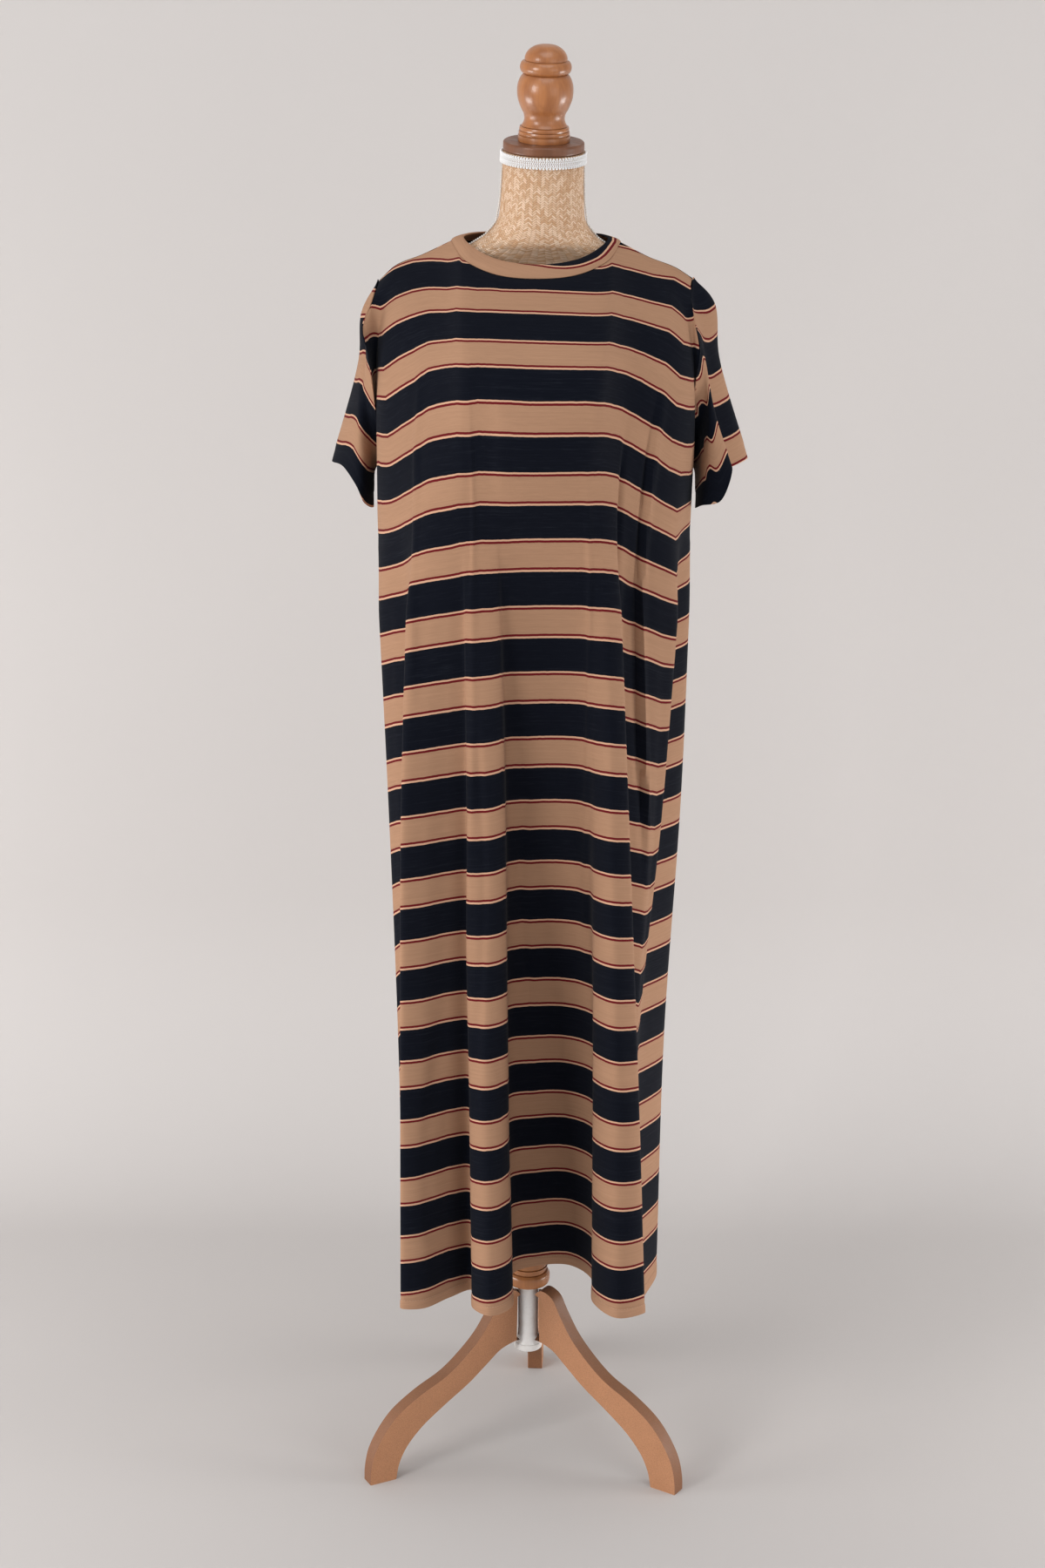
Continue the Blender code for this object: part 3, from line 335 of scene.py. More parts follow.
def stripe_heights(grid, heights, shifts):
    """Height above the hem of each point along its thread, as the stripes are knitted."""
    body = len(heights)
    level = np.empty(grid.shape[:2])
    level[:body] = (np.array(heights) - STATIONS[0])[:, None]
    climb = np.linalg.norm(np.diff(grid[body - 1:], axis=0), axis=2)
    level[body:] = level[body - 1] + np.cumsum(climb, axis=0)
    return level + shifts


def shift_field(places, heights, rows_above):
    """The front's stripe shifts, spread over its threads and rows, in metres."""
    table = np.array(STRIPE_SHIFTS, float)
    spots = [number + share for number, share in places] + [len(table) - 1.0]
    across = np.array([np.interp(spots, range(len(table)), level) for level in table.T]) / 1000
    rows = np.concatenate((np.interp(heights, STATIONS, range(4)),
                           3 + 2 * np.arange(1, rows_above + 1) / rows_above))
    return np.stack([np.interp(rows, range(6), shifts) for shifts in across.T], axis=1)


def sleeve_surface(folds, front, back, places, rows):
    """A tube from the armhole to the sleeve's hem, two columns to each span of the armhole."""
    places = list(places) + [2.0]
    corners = on_edges((front, back), places)
    starts, columns = [], []
    marks = [fold[1] for fold in folds] + [2.0]
    for index in range(len(places) - 1):
        for share in (0.0, 0.5):
            place = places[index] + share * (places[index + 1] - places[index])
            starts.append(corners[index] * (1 - share) + corners[index + 1] * share)
            number = int(np.searchsorted(marks, place, side="right")) - 1
            columns.append((number, (place - marks[number]) / (marks[number + 1] - marks[number])))
    sections = [np.array(starts)]
    sections += [round_ring([fold[level] for fold in folds], columns) for level in (2, 3, 4)]
    sections = np.array(sections)
    grid = np.empty((rows + 1, len(columns), 3))
    for index in range(len(columns)):
        line = sections[:, index]
        knots = lengths_along(line, 0.5)
        grid[:, index] = smooth_through(knots, line, np.linspace(0, knots[-1], rows + 1))
    return grid


def band_surface(places, rows):
    """The neckband's closed rows, from the neckline up to its open edge."""
    lower = on_edges((FRONT_EDGES[2], BACK_EDGES[2]), places)
    upper = round_ring(BAND_TOP, [(number, step / 50) for number in range(len(BAND_TOP))
                                  for step in range(50)])
    centre = upper.mean(axis=0)
    angles = np.arctan2(upper[:, 1] - centre[1], upper[:, 0] - centre[0])
    order = np.argsort(angles)
    wanted = np.arctan2(lower[:, 1] - centre[1], (lower[:, 0] - centre[0]) * 0.86)
    top = np.stack([np.interp(wanted, angles[order], upper[order, axis], period=TURN)
                    for axis in range(3)], axis=1)
    rise = top - lower
    along = unit(np.roll(lower, -1, axis=0) - np.roll(lower, 1, axis=0))
    bow = unit(np.cross(along, unit(rise)))
    shares = np.linspace(0, 1, rows + 1)
    return np.array([lower + rise * s + bow * 0.0012 * math.sin(math.pi * s) for s in shares])


def grid_normals(grid, closed):
    """Unit normals at the points of a grid of rows, out of the side that its columns run round."""
    if closed:
        wide = np.concatenate((grid[:, -1:], grid, grid[:, :1]), axis=1)
        along = wide[:, 2:] - wide[:, :-2]
    else:
        along = np.gradient(grid, axis=1)
    up = np.gradient(grid, axis=0)
    return unit(np.cross(along, up))


def rise_field(grid):
    """Height of each point of a grid above its lowest row, along the cloth."""
    climb = np.linalg.norm(np.diff(grid, axis=0), axis=2)
    return np.concatenate((np.zeros((1, grid.shape[1])), np.cumsum(climb, axis=0)))


def across_field(grid, row):
    """Distance across the cloth of each thread, from the middle, measured on one row."""
    run = lengths_along(grid[row])
    return run - run[-1] / 2


# ---- node wiring ----
def reckoning(operation, swapped=False):
    """An arithmetic operator of Value, made of one Math node."""
    def reckon(self, other):
        return self.wiring.math(operation, *((other, self) if swapped else (self, other)))
    return reckon


class Value:
    """A node's output, with which sums can be written as sums."""

    def __init__(self, wiring, socket):
        self.wiring, self.socket = wiring, socket

    __add__ = reckoning("ADD")
    __sub__ = reckoning("SUBTRACT")
    __rsub__ = reckoning("SUBTRACT", swapped=True)
    __mul__ = reckoning("MULTIPLY")
    __truediv__ = reckoning("DIVIDE")


class Wiring:
    """Short ways to place nodes in one tree: a number, a colour or a Value may stand for any input."""

    def __init__(self, tree):
        self.tree = tree

    def join(self, source, socket):
        if isinstance(source, Value):
            self.tree.links.new(source.socket, socket)
        else:
            socket.default_value = source

    def fill(self, node, inputs, **settings):
        """A node's settings, then its inputs by name or number; returns its outputs as Values."""
        for name, setting in settings.items():
            setattr(node, name, setting)
        for place, source in inputs.items():
            self.join(source, node.inputs[place])
        return [Value(self, socket) for socket in node.outputs]

    def node(self, kind, inputs, output=0, **settings):
        return self.fill(self.tree.nodes.new(kind), inputs, **settings)[output]

    def math(self, operation, *values):
        return self.node("ShaderNodeMath", dict(enumerate(values)), operation=operation)

    def span(self, value, low, high, to_low=0.0, to_high=1.0):
        ends = {"Value": value, "From Min": low, "From Max": high, "To Min": to_low, "To Max": to_high}
        return self.node("ShaderNodeMapRange", ends, interpolation_type="SMOOTHSTEP")

    def mix(self, share, first, second, blend="MIX"):
        return self.node("ShaderNodeMix", {0: share, 6: first, 7: second}, 2, data_type="RGBA",
                         blend_type=blend)

    def noise(self, vector, scale, detail=3.0, rough=0.55):
        return self.node("ShaderNodeTexNoise", {"Vector": vector, "Scale": scale, "Detail": detail,
                                                "Roughness": rough})

    def point(self, x, y, z=0.0):
        return self.node("ShaderNodeCombineXYZ", {0: x, 1: y, 2: z})

    def parts(self, vector):
        return self.fill(self.tree.nodes.new("ShaderNodeSeparateXYZ"), {0: vector})

    def group(self, tree, inputs):
        return self.fill(self.tree.nodes.new("ShaderNodeGroup"), inputs, node_tree=tree)

    def uv(self, name):
        return self.node("ShaderNodeUVMap", {}, uv_map=name)

    def object_place(self):
        node = self.tree.nodes.new("ShaderNodeTexCoord")
        return Value(self, node.outputs["Object"])

    def bump(self, height, distance):
        return self.node("ShaderNodeBump", {"Height": height, "Distance": distance, "Strength": 1.0})


def new_group(name, inputs, outputs, kind="ShaderNodeTree"):
    """An empty node group with named sockets: its wiring, its inputs as Values, its end node's sockets."""
    tree = bpy.data.node_groups.new(name, kind)
    for label, sort, value in inputs:
        socket = tree.interface.new_socket(label, in_out="INPUT", socket_type="NodeSocket" + sort)
        if value is not None:
            socket.default_value = value
    for label, sort in outputs:
        tree.interface.new_socket(label, in_out="OUTPUT", socket_type="NodeSocket" + sort)
    w = Wiring(tree)
    given = w.fill(tree.nodes.new("NodeGroupInput"), {})[:len(inputs)]
    return w, given, tree.nodes.new("NodeGroupOutput").inputs


# ---- materials ----
def new_material(name, roughness, colour=(0.5, 0.5, 0.5)):
    material = bpy.data.materials.new(name)
    material.use_nodes = True
    shader = material.node_tree.nodes["Principled BSDF"]
    w = Wiring(material.node_tree)
    w.fill(shader, {"Base Color": (*colour, 1.0), "Roughness": roughness})
    return material, shader, w


def jersey_knit():
    """Fine knit: tiny loops in courses, slubs that run along them, and a broad unevenness of dye."""
    w, (cloth, loop), made = new_group(
        "jersey_knit", (("Cloth Place", "Vector", None), ("Loop", "Float", LOOP)),
        (("Height", "Float"), ("Shade", "Float")))
    u, v, _ = w.parts(cloth)
    across = w.math("SINE", u / loop * TURN)
    along = w.math("SINE", v / (loop * 0.8) * TURN)
    slub = w.noise(w.point(u * 55.0, v * 900.0), 1.0, 2.0)
    streak = w.noise(w.point(u * 9.0, v * 420.0, 3.0), 1.0)
    dye = w.noise(cloth, 7.0)
    w.join((across + along) * 0.22 + slub, made["Height"])
    w.join(slub * 0.40 + streak * 0.40 + dye * 0.20, made["Shade"])
    return w.tree


def stripe_bands():
    """Colour by height above the hem: navy, cream, red, tan, red, cream and again."""
    w, (cloth, repeat, start), made = new_group(
        "stripe_bands", (("Cloth Place", "Vector", None), ("Repeat", "Float", STRIPE_REPEAT),
                         ("Start", "Float", NAVY_CENTRE - NAVY_WIDTH / 2)),
        (("Colour", "Color"), ("Dark", "Float")))
    u, v, _ = w.parts(cloth)
    waver = w.noise(w.point(u * 160.0, v * 40.0), 1.0, 2.0)
    turn = w.math("FRACT", (v + (waver - 0.5) * 0.0008 - start) / repeat)
    navy, cream, red = (width / STRIPE_REPEAT for width in (NAVY_WIDTH, CREAM_WIDTH, RED_WIDTH))
    stops = ((0.0, NAVY), (navy, CREAM), (navy + cream, RED), (navy + cream + red, TAN),
             (1 - cream - red, RED), (1 - cream, CREAM))
    node = w.tree.nodes.new("ShaderNodeValToRGB")
    node.color_ramp.interpolation = "CONSTANT"
    while len(node.color_ramp.elements) < len(stops):
        node.color_ramp.elements.new(1.0)
    for element, (place, colour) in zip(node.color_ramp.elements, stops):
        element.position = place
        element.color = (*colour, 1.0)
    w.join(w.fill(node, {"Fac": turn})[0], made["Colour"])
    w.join(w.span(turn, navy - 0.004, navy + 0.004, 1.0, 0.0), made["Dark"])
    return w.tree


def jersey(name, knit, bands, loop):
    """The striped jersey: its navy a little faded in random heathered flecks, with a soft bloom at glancing
    angles.
    """
    material, shader, w = new_material(name, 0.88)
    cloth = w.uv("cloth")
    colour, dark = w.group(bands, {"Cloth Place": cloth})
    height, shade = w.group(knit, {"Cloth Place": cloth, "Loop": loop})
    light = w.span(shade, 0.30, 0.72, 0.92, 1.08)
    toned = w.mix(1.0, colour, w.point(light, light, light), "MULTIPLY")
    heather = w.span(shade, 0.50, 0.74, 0.0, 0.045)
    w.fill(shader, {"Base Color": w.mix(heather * dark, toned, (0.16, 0.18, 0.22, 1)),
                    "Roughness": w.span(shade, 0.3, 0.7, 0.93, 0.80), "Sheen Weight": 0.03,
                    "Sheen Roughness": 0.5, "Specular IOR Level": 0.05, "Normal": w.bump(height, 0.00007)})
    return material


def thread_material(name, colour):
    material, shader, w = new_material(name, 0.7, colour)
    place = w.object_place()
    dark = (*[part * 0.7 for part in colour], 1)
    pale = (*[min(1, part * 1.25) for part in colour], 1)
    w.fill(shader, {"Base Color": w.mix(w.noise(place, 300.0, 2.0), dark, pale),
                    "Normal": w.bump(w.noise(place, 2500.0, 1.0), 0.0001)})
    return material


def jute_cloth():
    """Plaited raffia in upright columns of chevrons, on the form's own map, with painted shade in the gaps
    between its strands and columns.
    """
    material, shader, w = new_material("jute_herringbone", 0.78)
    form = w.uv("form")
    u, v, _ = w.parts(form)
    sway = w.noise(w.point(u * 30.0, v * 30.0), 1.0, 2.0)
    column = u / PLAIT_WIDTH + (sway - 0.5) * 0.5
    step = v / STRAND_WIDTH + w.math("PINGPONG", column, 1.0) * 1.3
    strand = w.math("SINE", w.math("FRACT", step) * math.pi)
    bow = w.math("SINE", w.math("FRACT", column) * math.pi)
    fibre = w.noise(w.point(column * 9.0, step * 5.0), 1.0)
    height = w.math("POWER", strand, 0.6) * (bow * 0.55 + 0.45) + fibre * 0.25
    cell = w.node("ShaderNodeTexWhiteNoise", {"Vector": w.point(w.math("FLOOR", column),
                                                                w.math("FLOOR", step))},
                  noise_dimensions="2D")
    tone = cell * 0.55 + w.noise(form, 55.0) * 0.45
    straw = w.mix(w.span(tone, 0.2, 0.8), (0.56, 0.33, 0.18, 1), (0.78, 0.58, 0.42, 1))
    # painted shade: the colour turns dark brown where the plait's height is low, in the gaps between
    # strands and columns
    w.fill(shader, {"Base Color": w.mix(w.span(height, 0.12, 0.75), (0.30, 0.15, 0.07, 1), straw),
                    "Roughness": w.span(fibre, 0.3, 0.7, 0.62, 0.9), "Specular IOR Level": 0.35,
                    "Normal": w.bump(height, 0.0006)})
    return material


def wood_grain():
    """Grain that runs up the pole: soft rings drawn out along Z, and short dark pores."""
    w, (place, pale, deep, figure), made = new_group(
        "wood_grain", (("Place", "Vector", None), ("Pale", "Color", (0.6, 0.3, 0.1, 1)),
                       ("Deep", "Color", (0.3, 0.1, 0.04, 1)), ("Figure", "Float", 1.0)),
        (("Colour", "Color"), ("Height", "Float")))
    x, y, z = w.parts(place)
    ring = w.noise(w.point(x * 38.0, y * 38.0, z * 3.2), 1.0, 4.0, 0.6)
    fine = w.noise(w.point(x * 420.0, y * 420.0, z * 22.0), 1.0, 2.0)
    share = (w.span(ring, 0.30, 0.70) * 0.65 + fine * 0.35) * figure
    w.join(w.mix(share, pale, deep), made["Colour"])
    w.join(w.span(fine, 0.35, 0.65), made["Height"])
    return w.tree


def varnished(name, grain, pale, deep, roughness, coat):
    material, shader, w = new_material(name, roughness)
    place = w.object_place()
    colour, height = w.group(grain, {"Place": place, "Pale": (*pale, 1), "Deep": (*deep, 1), "Figure": 0.9})
    wear = w.noise(place, 60.0)
    w.fill(shader, {"Base Color": colour, "Coat Weight": coat, "Coat Roughness": 0.18,
                    "Roughness": w.span(wear, 0.3, 0.75, roughness - 0.05, roughness + 0.12),
                    "Normal": w.bump(height, 0.00005)})
    return material


def fibreboard(name, pale, deep):
    """Pressed wood fibre: fine dark and pale specks under a thin coat of sealer."""
    material, shader, w = new_material(name, 0.55)
    place = w.object_place()
    speck = w.noise(place, 900.0, 3.0, 0.7)
    cloud = w.noise(place, 45.0)
    share = w.span(speck, 0.35, 0.65) * 0.6 + cloud * 0.4
    w.fill(shader, {"Base Color": w.mix(share, (*deep, 1), (*pale, 1)),
                    "Roughness": w.span(cloud, 0.3, 0.7, 0.48, 0.66), "Normal": w.bump(speck, 0.00012)})
    return material


def enamel():
    """White enamelled tube, a little dusty and yellowed."""
    material, shader, w = new_material("white_enamel", 0.3)
    dust = w.noise(w.object_place(), 70.0, 4.0)
    clean, dull = (0.90, 0.89, 0.87, 1), (0.78, 0.75, 0.71, 1)
    w.fill(shader, {"Base Color": w.mix(w.span(dust, 0.35, 0.8), clean, dull),
                    "Roughness": w.span(dust, 0.3, 0.8, 0.25, 0.5)})
    return material


def plain_paper(name, pale, deep):
    """Matt paper, clear from behind, so that the back of the dress can be seen through the wall."""
    material, shader, w = new_material(name, 0.95)
    cloud = w.noise(w.object_place(), 0.9, 2.0)
    geometry = w.tree.nodes.new("ShaderNodeNewGeometry")
    behind = Value(w, geometry.outputs["Backfacing"])
    w.fill(shader, {"Base Color": w.mix(w.span(cloud, 0.3, 0.7), (*pale, 1), (*deep, 1)),
                    "Specular IOR Level": 0.1, "Alpha": 1.0 - behind})
    return material


# ---- meshes ----
def add_object(name, data):
    made = bpy.data.objects.new(name, data)
    bpy.context.scene.collection.objects.link(made)
    return made


def new_piece(name, vertices, faces, materials, uv=None, uv_name="cloth", face_slots=None, sharp=50):
    """One mesh object in the row's frame, shaded smooth except at sharp edges."""
    mesh = bpy.data.meshes.new(name)
    mesh.from_pydata(np.asarray(vertices, float).tolist(), [], faces)
    if uv is not None:
        layer = mesh.uv_layers.new(name=uv_name)
        corners = np.empty(len(mesh.loops), int)
        mesh.loops.foreach_get("vertex_index", corners)
        layer.data.foreach_set("uv", np.asarray(uv, float)[corners].ravel())
    for material in materials:
        mesh.materials.append(material)
    if face_slots is not None:
        mesh.polygons.foreach_set("material_index", face_slots)
    mesh.polygons.foreach_set("use_smooth", [True] * len(mesh.polygons))
    mesh.set_sharp_from_angle(angle=math.radians(sharp))
    mesh.validate()
    return add_object(name, mesh)


def cloth_wall(grid, normals, closed, thickness):
    """Vertices and faces of the thin closed body that lies to both sides of a grid."""
    rows, columns = grid.shape[:2]
    offset = normals * (thickness / 2 if np.isscalar(thickness) else thickness[..., None] / 2)
    vertices = np.concatenate(((grid + offset).reshape(-1, 3), (grid - offset).reshape(-1, 3)))
    half = rows * columns
    spans = columns if closed else columns - 1
    r, c = np.meshgrid(np.arange(rows - 1), np.arange(spans), indexing="ij")
    d = (c + 1) % columns
    low, high = r * columns, (r + 1) * columns
    quads = np.stack((low + c, low + d, high + d, high + c), axis=-1).reshape(-1, 4)
    c, d, top = c[0], d[0], (rows - 1) * columns
    faces = [quads, quads[:, ::-1] + half, np.stack((d, c, half + c, half + d), axis=1),
             np.stack((top + c, top + d, half + top + d, half + top + c), axis=1)]
    if not closed:
        a = np.arange(rows - 1) * columns
        b = a + columns
        faces.append(np.stack((a, b, half + b, half + a), axis=1))
        a, b = a + columns - 1, b + columns - 1
        faces.append(np.stack((b, a, half + a, half + b), axis=1))
    return vertices, np.concatenate(faces).tolist()


def ring_faces(rings, steps):
    faces = [(r * steps + c, r * steps + (c + 1) % steps, (r + 1) * steps + (c + 1) % steps,
              (r + 1) * steps + c) for r in range(rings - 1) for c in range(steps)]
    last = (rings - 1) * steps
    faces.append(tuple(range(steps - 1, -1, -1)))
    faces.append(tuple(last + c for c in range(steps)))
    return faces


def rounded(points, steps=6):
    """A smooth run through a few profile points, corners kept at its two ends."""
    knots = lengths_along(np.array(points), 0.5)
    return smooth_through(knots, points, finer_knots(knots, steps)).tolist()


def leaning(points):
    """Points of the form, turned about the y axis above its waist."""
    x, y, z = points.T
    tall = z - LEAN_HEIGHT
    cosine, sine = math.cos(LEAN), math.sin(LEAN)
    return np.stack((np.where(tall > 0, x * cosine + tall * sine, x), y,
                     np.where(tall > 0, LEAN_HEIGHT + tall * cosine - x * sine, z)), axis=1)


def seat(piece, node):
    """A finished piece that stands for a CAD node on the only body."""
    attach(piece, "root")
    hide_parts(node)


# ---- the dress ----
HEM_STITCH = 0.0105     # height of the stitching above the hem
SLEEVE_STITCHES = (0.0165, 0.0205)
BODY_ROWS = 132
CHEST_ROWS = 64
SLEEVE_ROWS = 44
BAND_ROWS = 8
FRONT_PITCH = 0.0040    # widest spacing of the threads
BACK_PITCH = 0.0062
SETTLE_PASSES = 130     # how many times the cloth above the chest is evened out

# Soft creases that the fold lines leave out: where each runs on its panel, in metres across from the
# panel's middle and up from the hem, its half width, and how far it stands out (a trough is negative).
FRONT_CREASES = (
    (0.1020, 0.62, 0.1030, 1.02, 0.0060, -0.0045),
    (0.1500, 0.56, 0.1500, 1.08, 0.0045, 0.0045),
    (0.1420, 0.54, 0.1430, 1.06, 0.0045, -0.0050),
    (-0.1214, 0.30, -0.1214, 1.05, 0.0040, 0.0018),
    (-0.1120, 0.26, -0.1130, 0.72, 0.0060, -0.0022),
    (0.0270, 0.34, 0.0320, 1.00, 0.0050, 0.0018),
    (-0.2026, 0.72, -0.1960, 1.08, 0.0050, 0.0022),
    (-0.0420, 0.30, -0.0400, 0.62, 0.0050, -0.0018),
    (-0.0900, 0.10, -0.0880, 0.34, 0.0060, -0.0016),
    (-0.1700, 0.05, -0.1680, 0.36, 0.0080, -0.0018),
    (0.0750, 0.06, 0.0730, 0.40, 0.0070, 0.0018),
)
BACK_CREASES = (
    (-0.150, 0.10, -0.120, 0.70, 0.016, 0.004),
    (0.020, 0.30, 0.060, 1.00, 0.018, -0.004),
    (0.130, 0.05, 0.155, 0.55, 0.015, 0.004),
    (-0.090, 1.02, -0.190, 1.16, 0.014, -0.004),
    (0.085, 1.00, 0.180, 1.17, 0.015, -0.004),
    (-0.020, 0.05, -0.035, 0.42, 0.013, 0.003),
)


def crease_field(creases, across, up):
    """Height of all creases over a panel: round in section, and faded out at both ends."""
    total = np.zeros_like(up)
    for low_across, low_up, high_across, high_up, half_width, depth in creases:
        run = np.array((high_across - low_across, high_up - low_up))
        length = np.linalg.norm(run)
        run /= length
        a = across - low_across
        b = up - low_up
        along = (a * run[0] + b * run[1]) / length
        aside = a * run[1] - b * run[0] + 0.006 * np.sin(along * 5.0 + low_across * 40)
        fade = smooth_step(along / 0.3 + 0.3) * smooth_step((1 - along) / 0.3 + 0.3)
        total += depth * fade * np.exp(-(aside / half_width) ** 2)
    return total


def seam_pinch(distance, depth=0.0011, reach=0.0035):
    """How far cloth is drawn in beside a seam."""
    return -depth * np.exp(-(distance / reach) ** 2)


def edge_distances(grid):
    """Distance of every point of a panel from its left, right and top borders, along the cloth."""
    steps = np.linalg.norm(np.diff(grid, axis=1), axis=2)
    left = np.concatenate((np.zeros((len(grid), 1)), np.cumsum(steps, axis=1)), axis=1)
    rise = rise_field(grid)
    return left, left[:, -1:] - left, rise[-1] - rise


def hem_profile(height):
    """A turned-up hem: a little thicker than the cloth above it, drawn in along its stitching."""
    fold = 0.0006 * smooth_step((HEM_STITCH - height) / 0.002 + 0.5)
    return fold - 0.0005 * np.exp(-((height - HEM_STITCH) / 0.0016) ** 2)


def body_heights():
    """Plain heights of the rows: close together at the hem, even above it."""
    hem = [0.0, 0.0045, 0.0085, 0.0095, 0.0105, 0.0115, 0.0130, 0.0170]
    even = np.linspace(0.0220, STATIONS[-1] - STATIONS[0], BODY_ROWS)
    return STATIONS[0] + np.concatenate((hem, even))


def settled(grid, body):
    """A panel whose cloth hangs smoothly across its threads above the chest, its borders kept."""
    grid = grid.copy()
    rows = np.arange(len(grid))
    rise = smooth_step((rows - body + 13) / 22) * smooth_step((len(grid) - 1 - rows) / 6)
    columns = np.arange(grid.shape[1])
    inset = smooth_step(np.minimum(columns, grid.shape[1] - 1 - columns) / 5)
    share = (rise[:, None] * inset[None, :])[1:-1, 1:-1, None] * 0.5
    for _ in range(SETTLE_PASSES):
        beside = (grid[1:-1, :-2] + grid[1:-1, 2:]) / 2
        grid[1:-1, 1:-1] += share * (beside - grid[1:-1, 1:-1])
    return grid


def dress_panels():
    """The fine mid-surfaces of all five pieces, with the height of the stripes on each."""
    front_places = thread_places(FRONT_FOLDS, FRONT_PITCH)
    back_places = thread_places(BACK_FOLDS, BACK_PITCH)
    shift = len(FRONT_FOLDS) - 1
    places = front_places + [(number + shift, share) for number, share in back_places]
    heights = body_heights()
    rings = body_rings(heights, places)
    rising = unit(rings[-1] - body_rings([STATIONS[-1] - 0.01], places)[0])
    count = len(front_places)
    back = list(range(count, rings.shape[1])) + [0]
    above, front_ends = panel_above(FRONT_FOLDS, FRONT_EDGES, front_places, rings[-1, :count + 1],
                                    rising[:count + 1], CHEST_ROWS, bust=1.0)
    front_grid = settled(np.concatenate((rings[:, :count + 1], above)), len(heights))
    above, back_ends = panel_above(BACK_FOLDS, BACK_EDGES, back_places, rings[-1, back], rising[back],
                                   CHEST_ROWS)
    back_grid = settled(np.concatenate((rings[:, back], above)), len(heights))
    front_up = stripe_heights(front_grid, heights, shift_field(front_places, heights, CHEST_ROWS))
    back_up = stripe_heights(back_grid, heights, BACK_SHIFT)
    neck = [t - 2.0 for t in front_ends if 2.0 <= t <= 3.0]
    neck += [t - 1.0 for t in back_ends if 2.0 < t < 3.0]
    left = [t for t in front_ends if t <= 1.0] + [t - 3.0 for t in back_ends if 4.0 < t < 5.0]
    right = [5.0 - t for t in reversed(front_ends) if t >= 4.0]
    right += [2.0 - t for t in reversed(back_ends) if 0.0 < t < 1.0]
    sleeve_left = sleeve_surface(SLEEVE_LEFT, FRONT_EDGES[0], BACK_EDGES[4], left, SLEEVE_ROWS)
    sleeve_right = sleeve_surface(SLEEVE_RIGHT, FRONT_EDGES[4][::-1], BACK_EDGES[0][::-1], right,
                                  SLEEVE_ROWS)
    band = band_surface(neck, BAND_ROWS)
    return front_grid, front_up, back_grid, back_up, sleeve_left, sleeve_right, band


def panel_piece(name, grid, stripe_up, creases, material):
    """A front or back: creased, drawn in at its seams, and hemmed."""
    across = np.broadcast_to(across_field(grid, len(grid) // 2), grid.shape[:2])
    left, right, top = edge_distances(grid)
    plain_up = rise_field(grid)
    normals = grid_normals(grid, False)
    push = crease_field(creases, across, plain_up)
    edge = np.minimum(np.minimum(left, right), top)
    push = push * smooth_step(edge / 0.03) + hem_profile(plain_up)
    push += seam_pinch(left) + seam_pinch(right) + seam_pinch(top)
    surface = grid + POLE + normals * push[..., None]
    normals = grid_normals(surface, False)
    vertices, faces = cloth_wall(surface, normals, False, CLOTH)
    uv = np.stack((across, stripe_up), axis=2).reshape(-1, 2)
    piece = new_piece(name, vertices, faces, [material], np.concatenate((uv, uv)))
    return piece, surface, normals, plain_up


def tube_piece(name, grid, material, stripe_up, thickness, push):
    """A sleeve or neckband, closed round, with its normals out of the tube."""
    normals = grid_normals(grid, True)
    surface = grid + POLE + normals * push[..., None]
    vertices, faces = cloth_wall(surface, normals, True, thickness)
    run = np.linalg.norm(np.diff(np.concatenate((grid, grid[:, :1]), axis=1), axis=1), axis=2).mean(axis=0)
    across = np.broadcast_to(np.concatenate(([0.0], np.cumsum(run)[:-1])), grid.shape[:2])
    uv = np.stack((across, stripe_up), axis=2).reshape(-1, 2)
    piece = new_piece(name, vertices, faces, [material], np.concatenate((uv, uv)))
    return piece, surface, normals


def level_line(surface, normals, up, level):
    """The line across a piece at one height on its cloth, just off its outer face."""
    lift = CLOTH / 2 + 0.0002
    line = []
    for column in range(surface.shape[1]):
        order = np.argsort(up[:, column])
        heights = up[order, column]
        line.append([np.interp(level, heights, surface[order, column, axis]
                               + normals[order, column, axis] * lift) for axis in range(3)])
    return np.array(line)


# ---- stitches and braids ----
def strands_tree():
    """Geometry Nodes: short round strands laid end to end along a path, tilted up by a slope."""
    sizes = [(label, "Float", None) for label in ("Pitch", "Length", "Thickness", "Slope")]
    w, (path, pitch, length, thickness, slope, thread), made = new_group(
        "laid_strands", [("Geometry", "Geometry", None), *sizes, ("Thread", "Material", None)],
        [("Geometry", "Geometry")], "GeometryNodeTree")
    curve = w.node("GeometryNodeMeshToCurve", {"Mesh": path})
    even = w.node("GeometryNodeResampleCurve", {"Curve": curve, "Length": pitch}, mode="LENGTH")
    ball = w.node("GeometryNodeMeshUVSphere", {"Segments": 6, "Rings": 4, "Radius": 0.5})
    size = w.point(thickness, thickness, length)
    strand = w.node("GeometryNodeTransform", {"Geometry": ball, "Scale": size})
    tangent = w.node("GeometryNodeInputTangent", {})
    heading = w.node("ShaderNodeVectorMath", {0: tangent, 1: w.point(0.0, 0.0, slope)})
    turn = w.node("FunctionNodeAlignRotationToVector", {"Vector": heading}, axis="Z")
    laid = w.node("GeometryNodeInstanceOnPoints", {"Points": even, "Instance": strand, "Rotation": turn})
    real = w.node("GeometryNodeRealizeInstances", {"Geometry": laid})
    smooth = w.node("GeometryNodeSetShadeSmooth", {"Geometry": real})
    w.join(w.node("GeometryNodeSetMaterial", {"Geometry": smooth, "Material": thread}), made["Geometry"])
    return w.tree


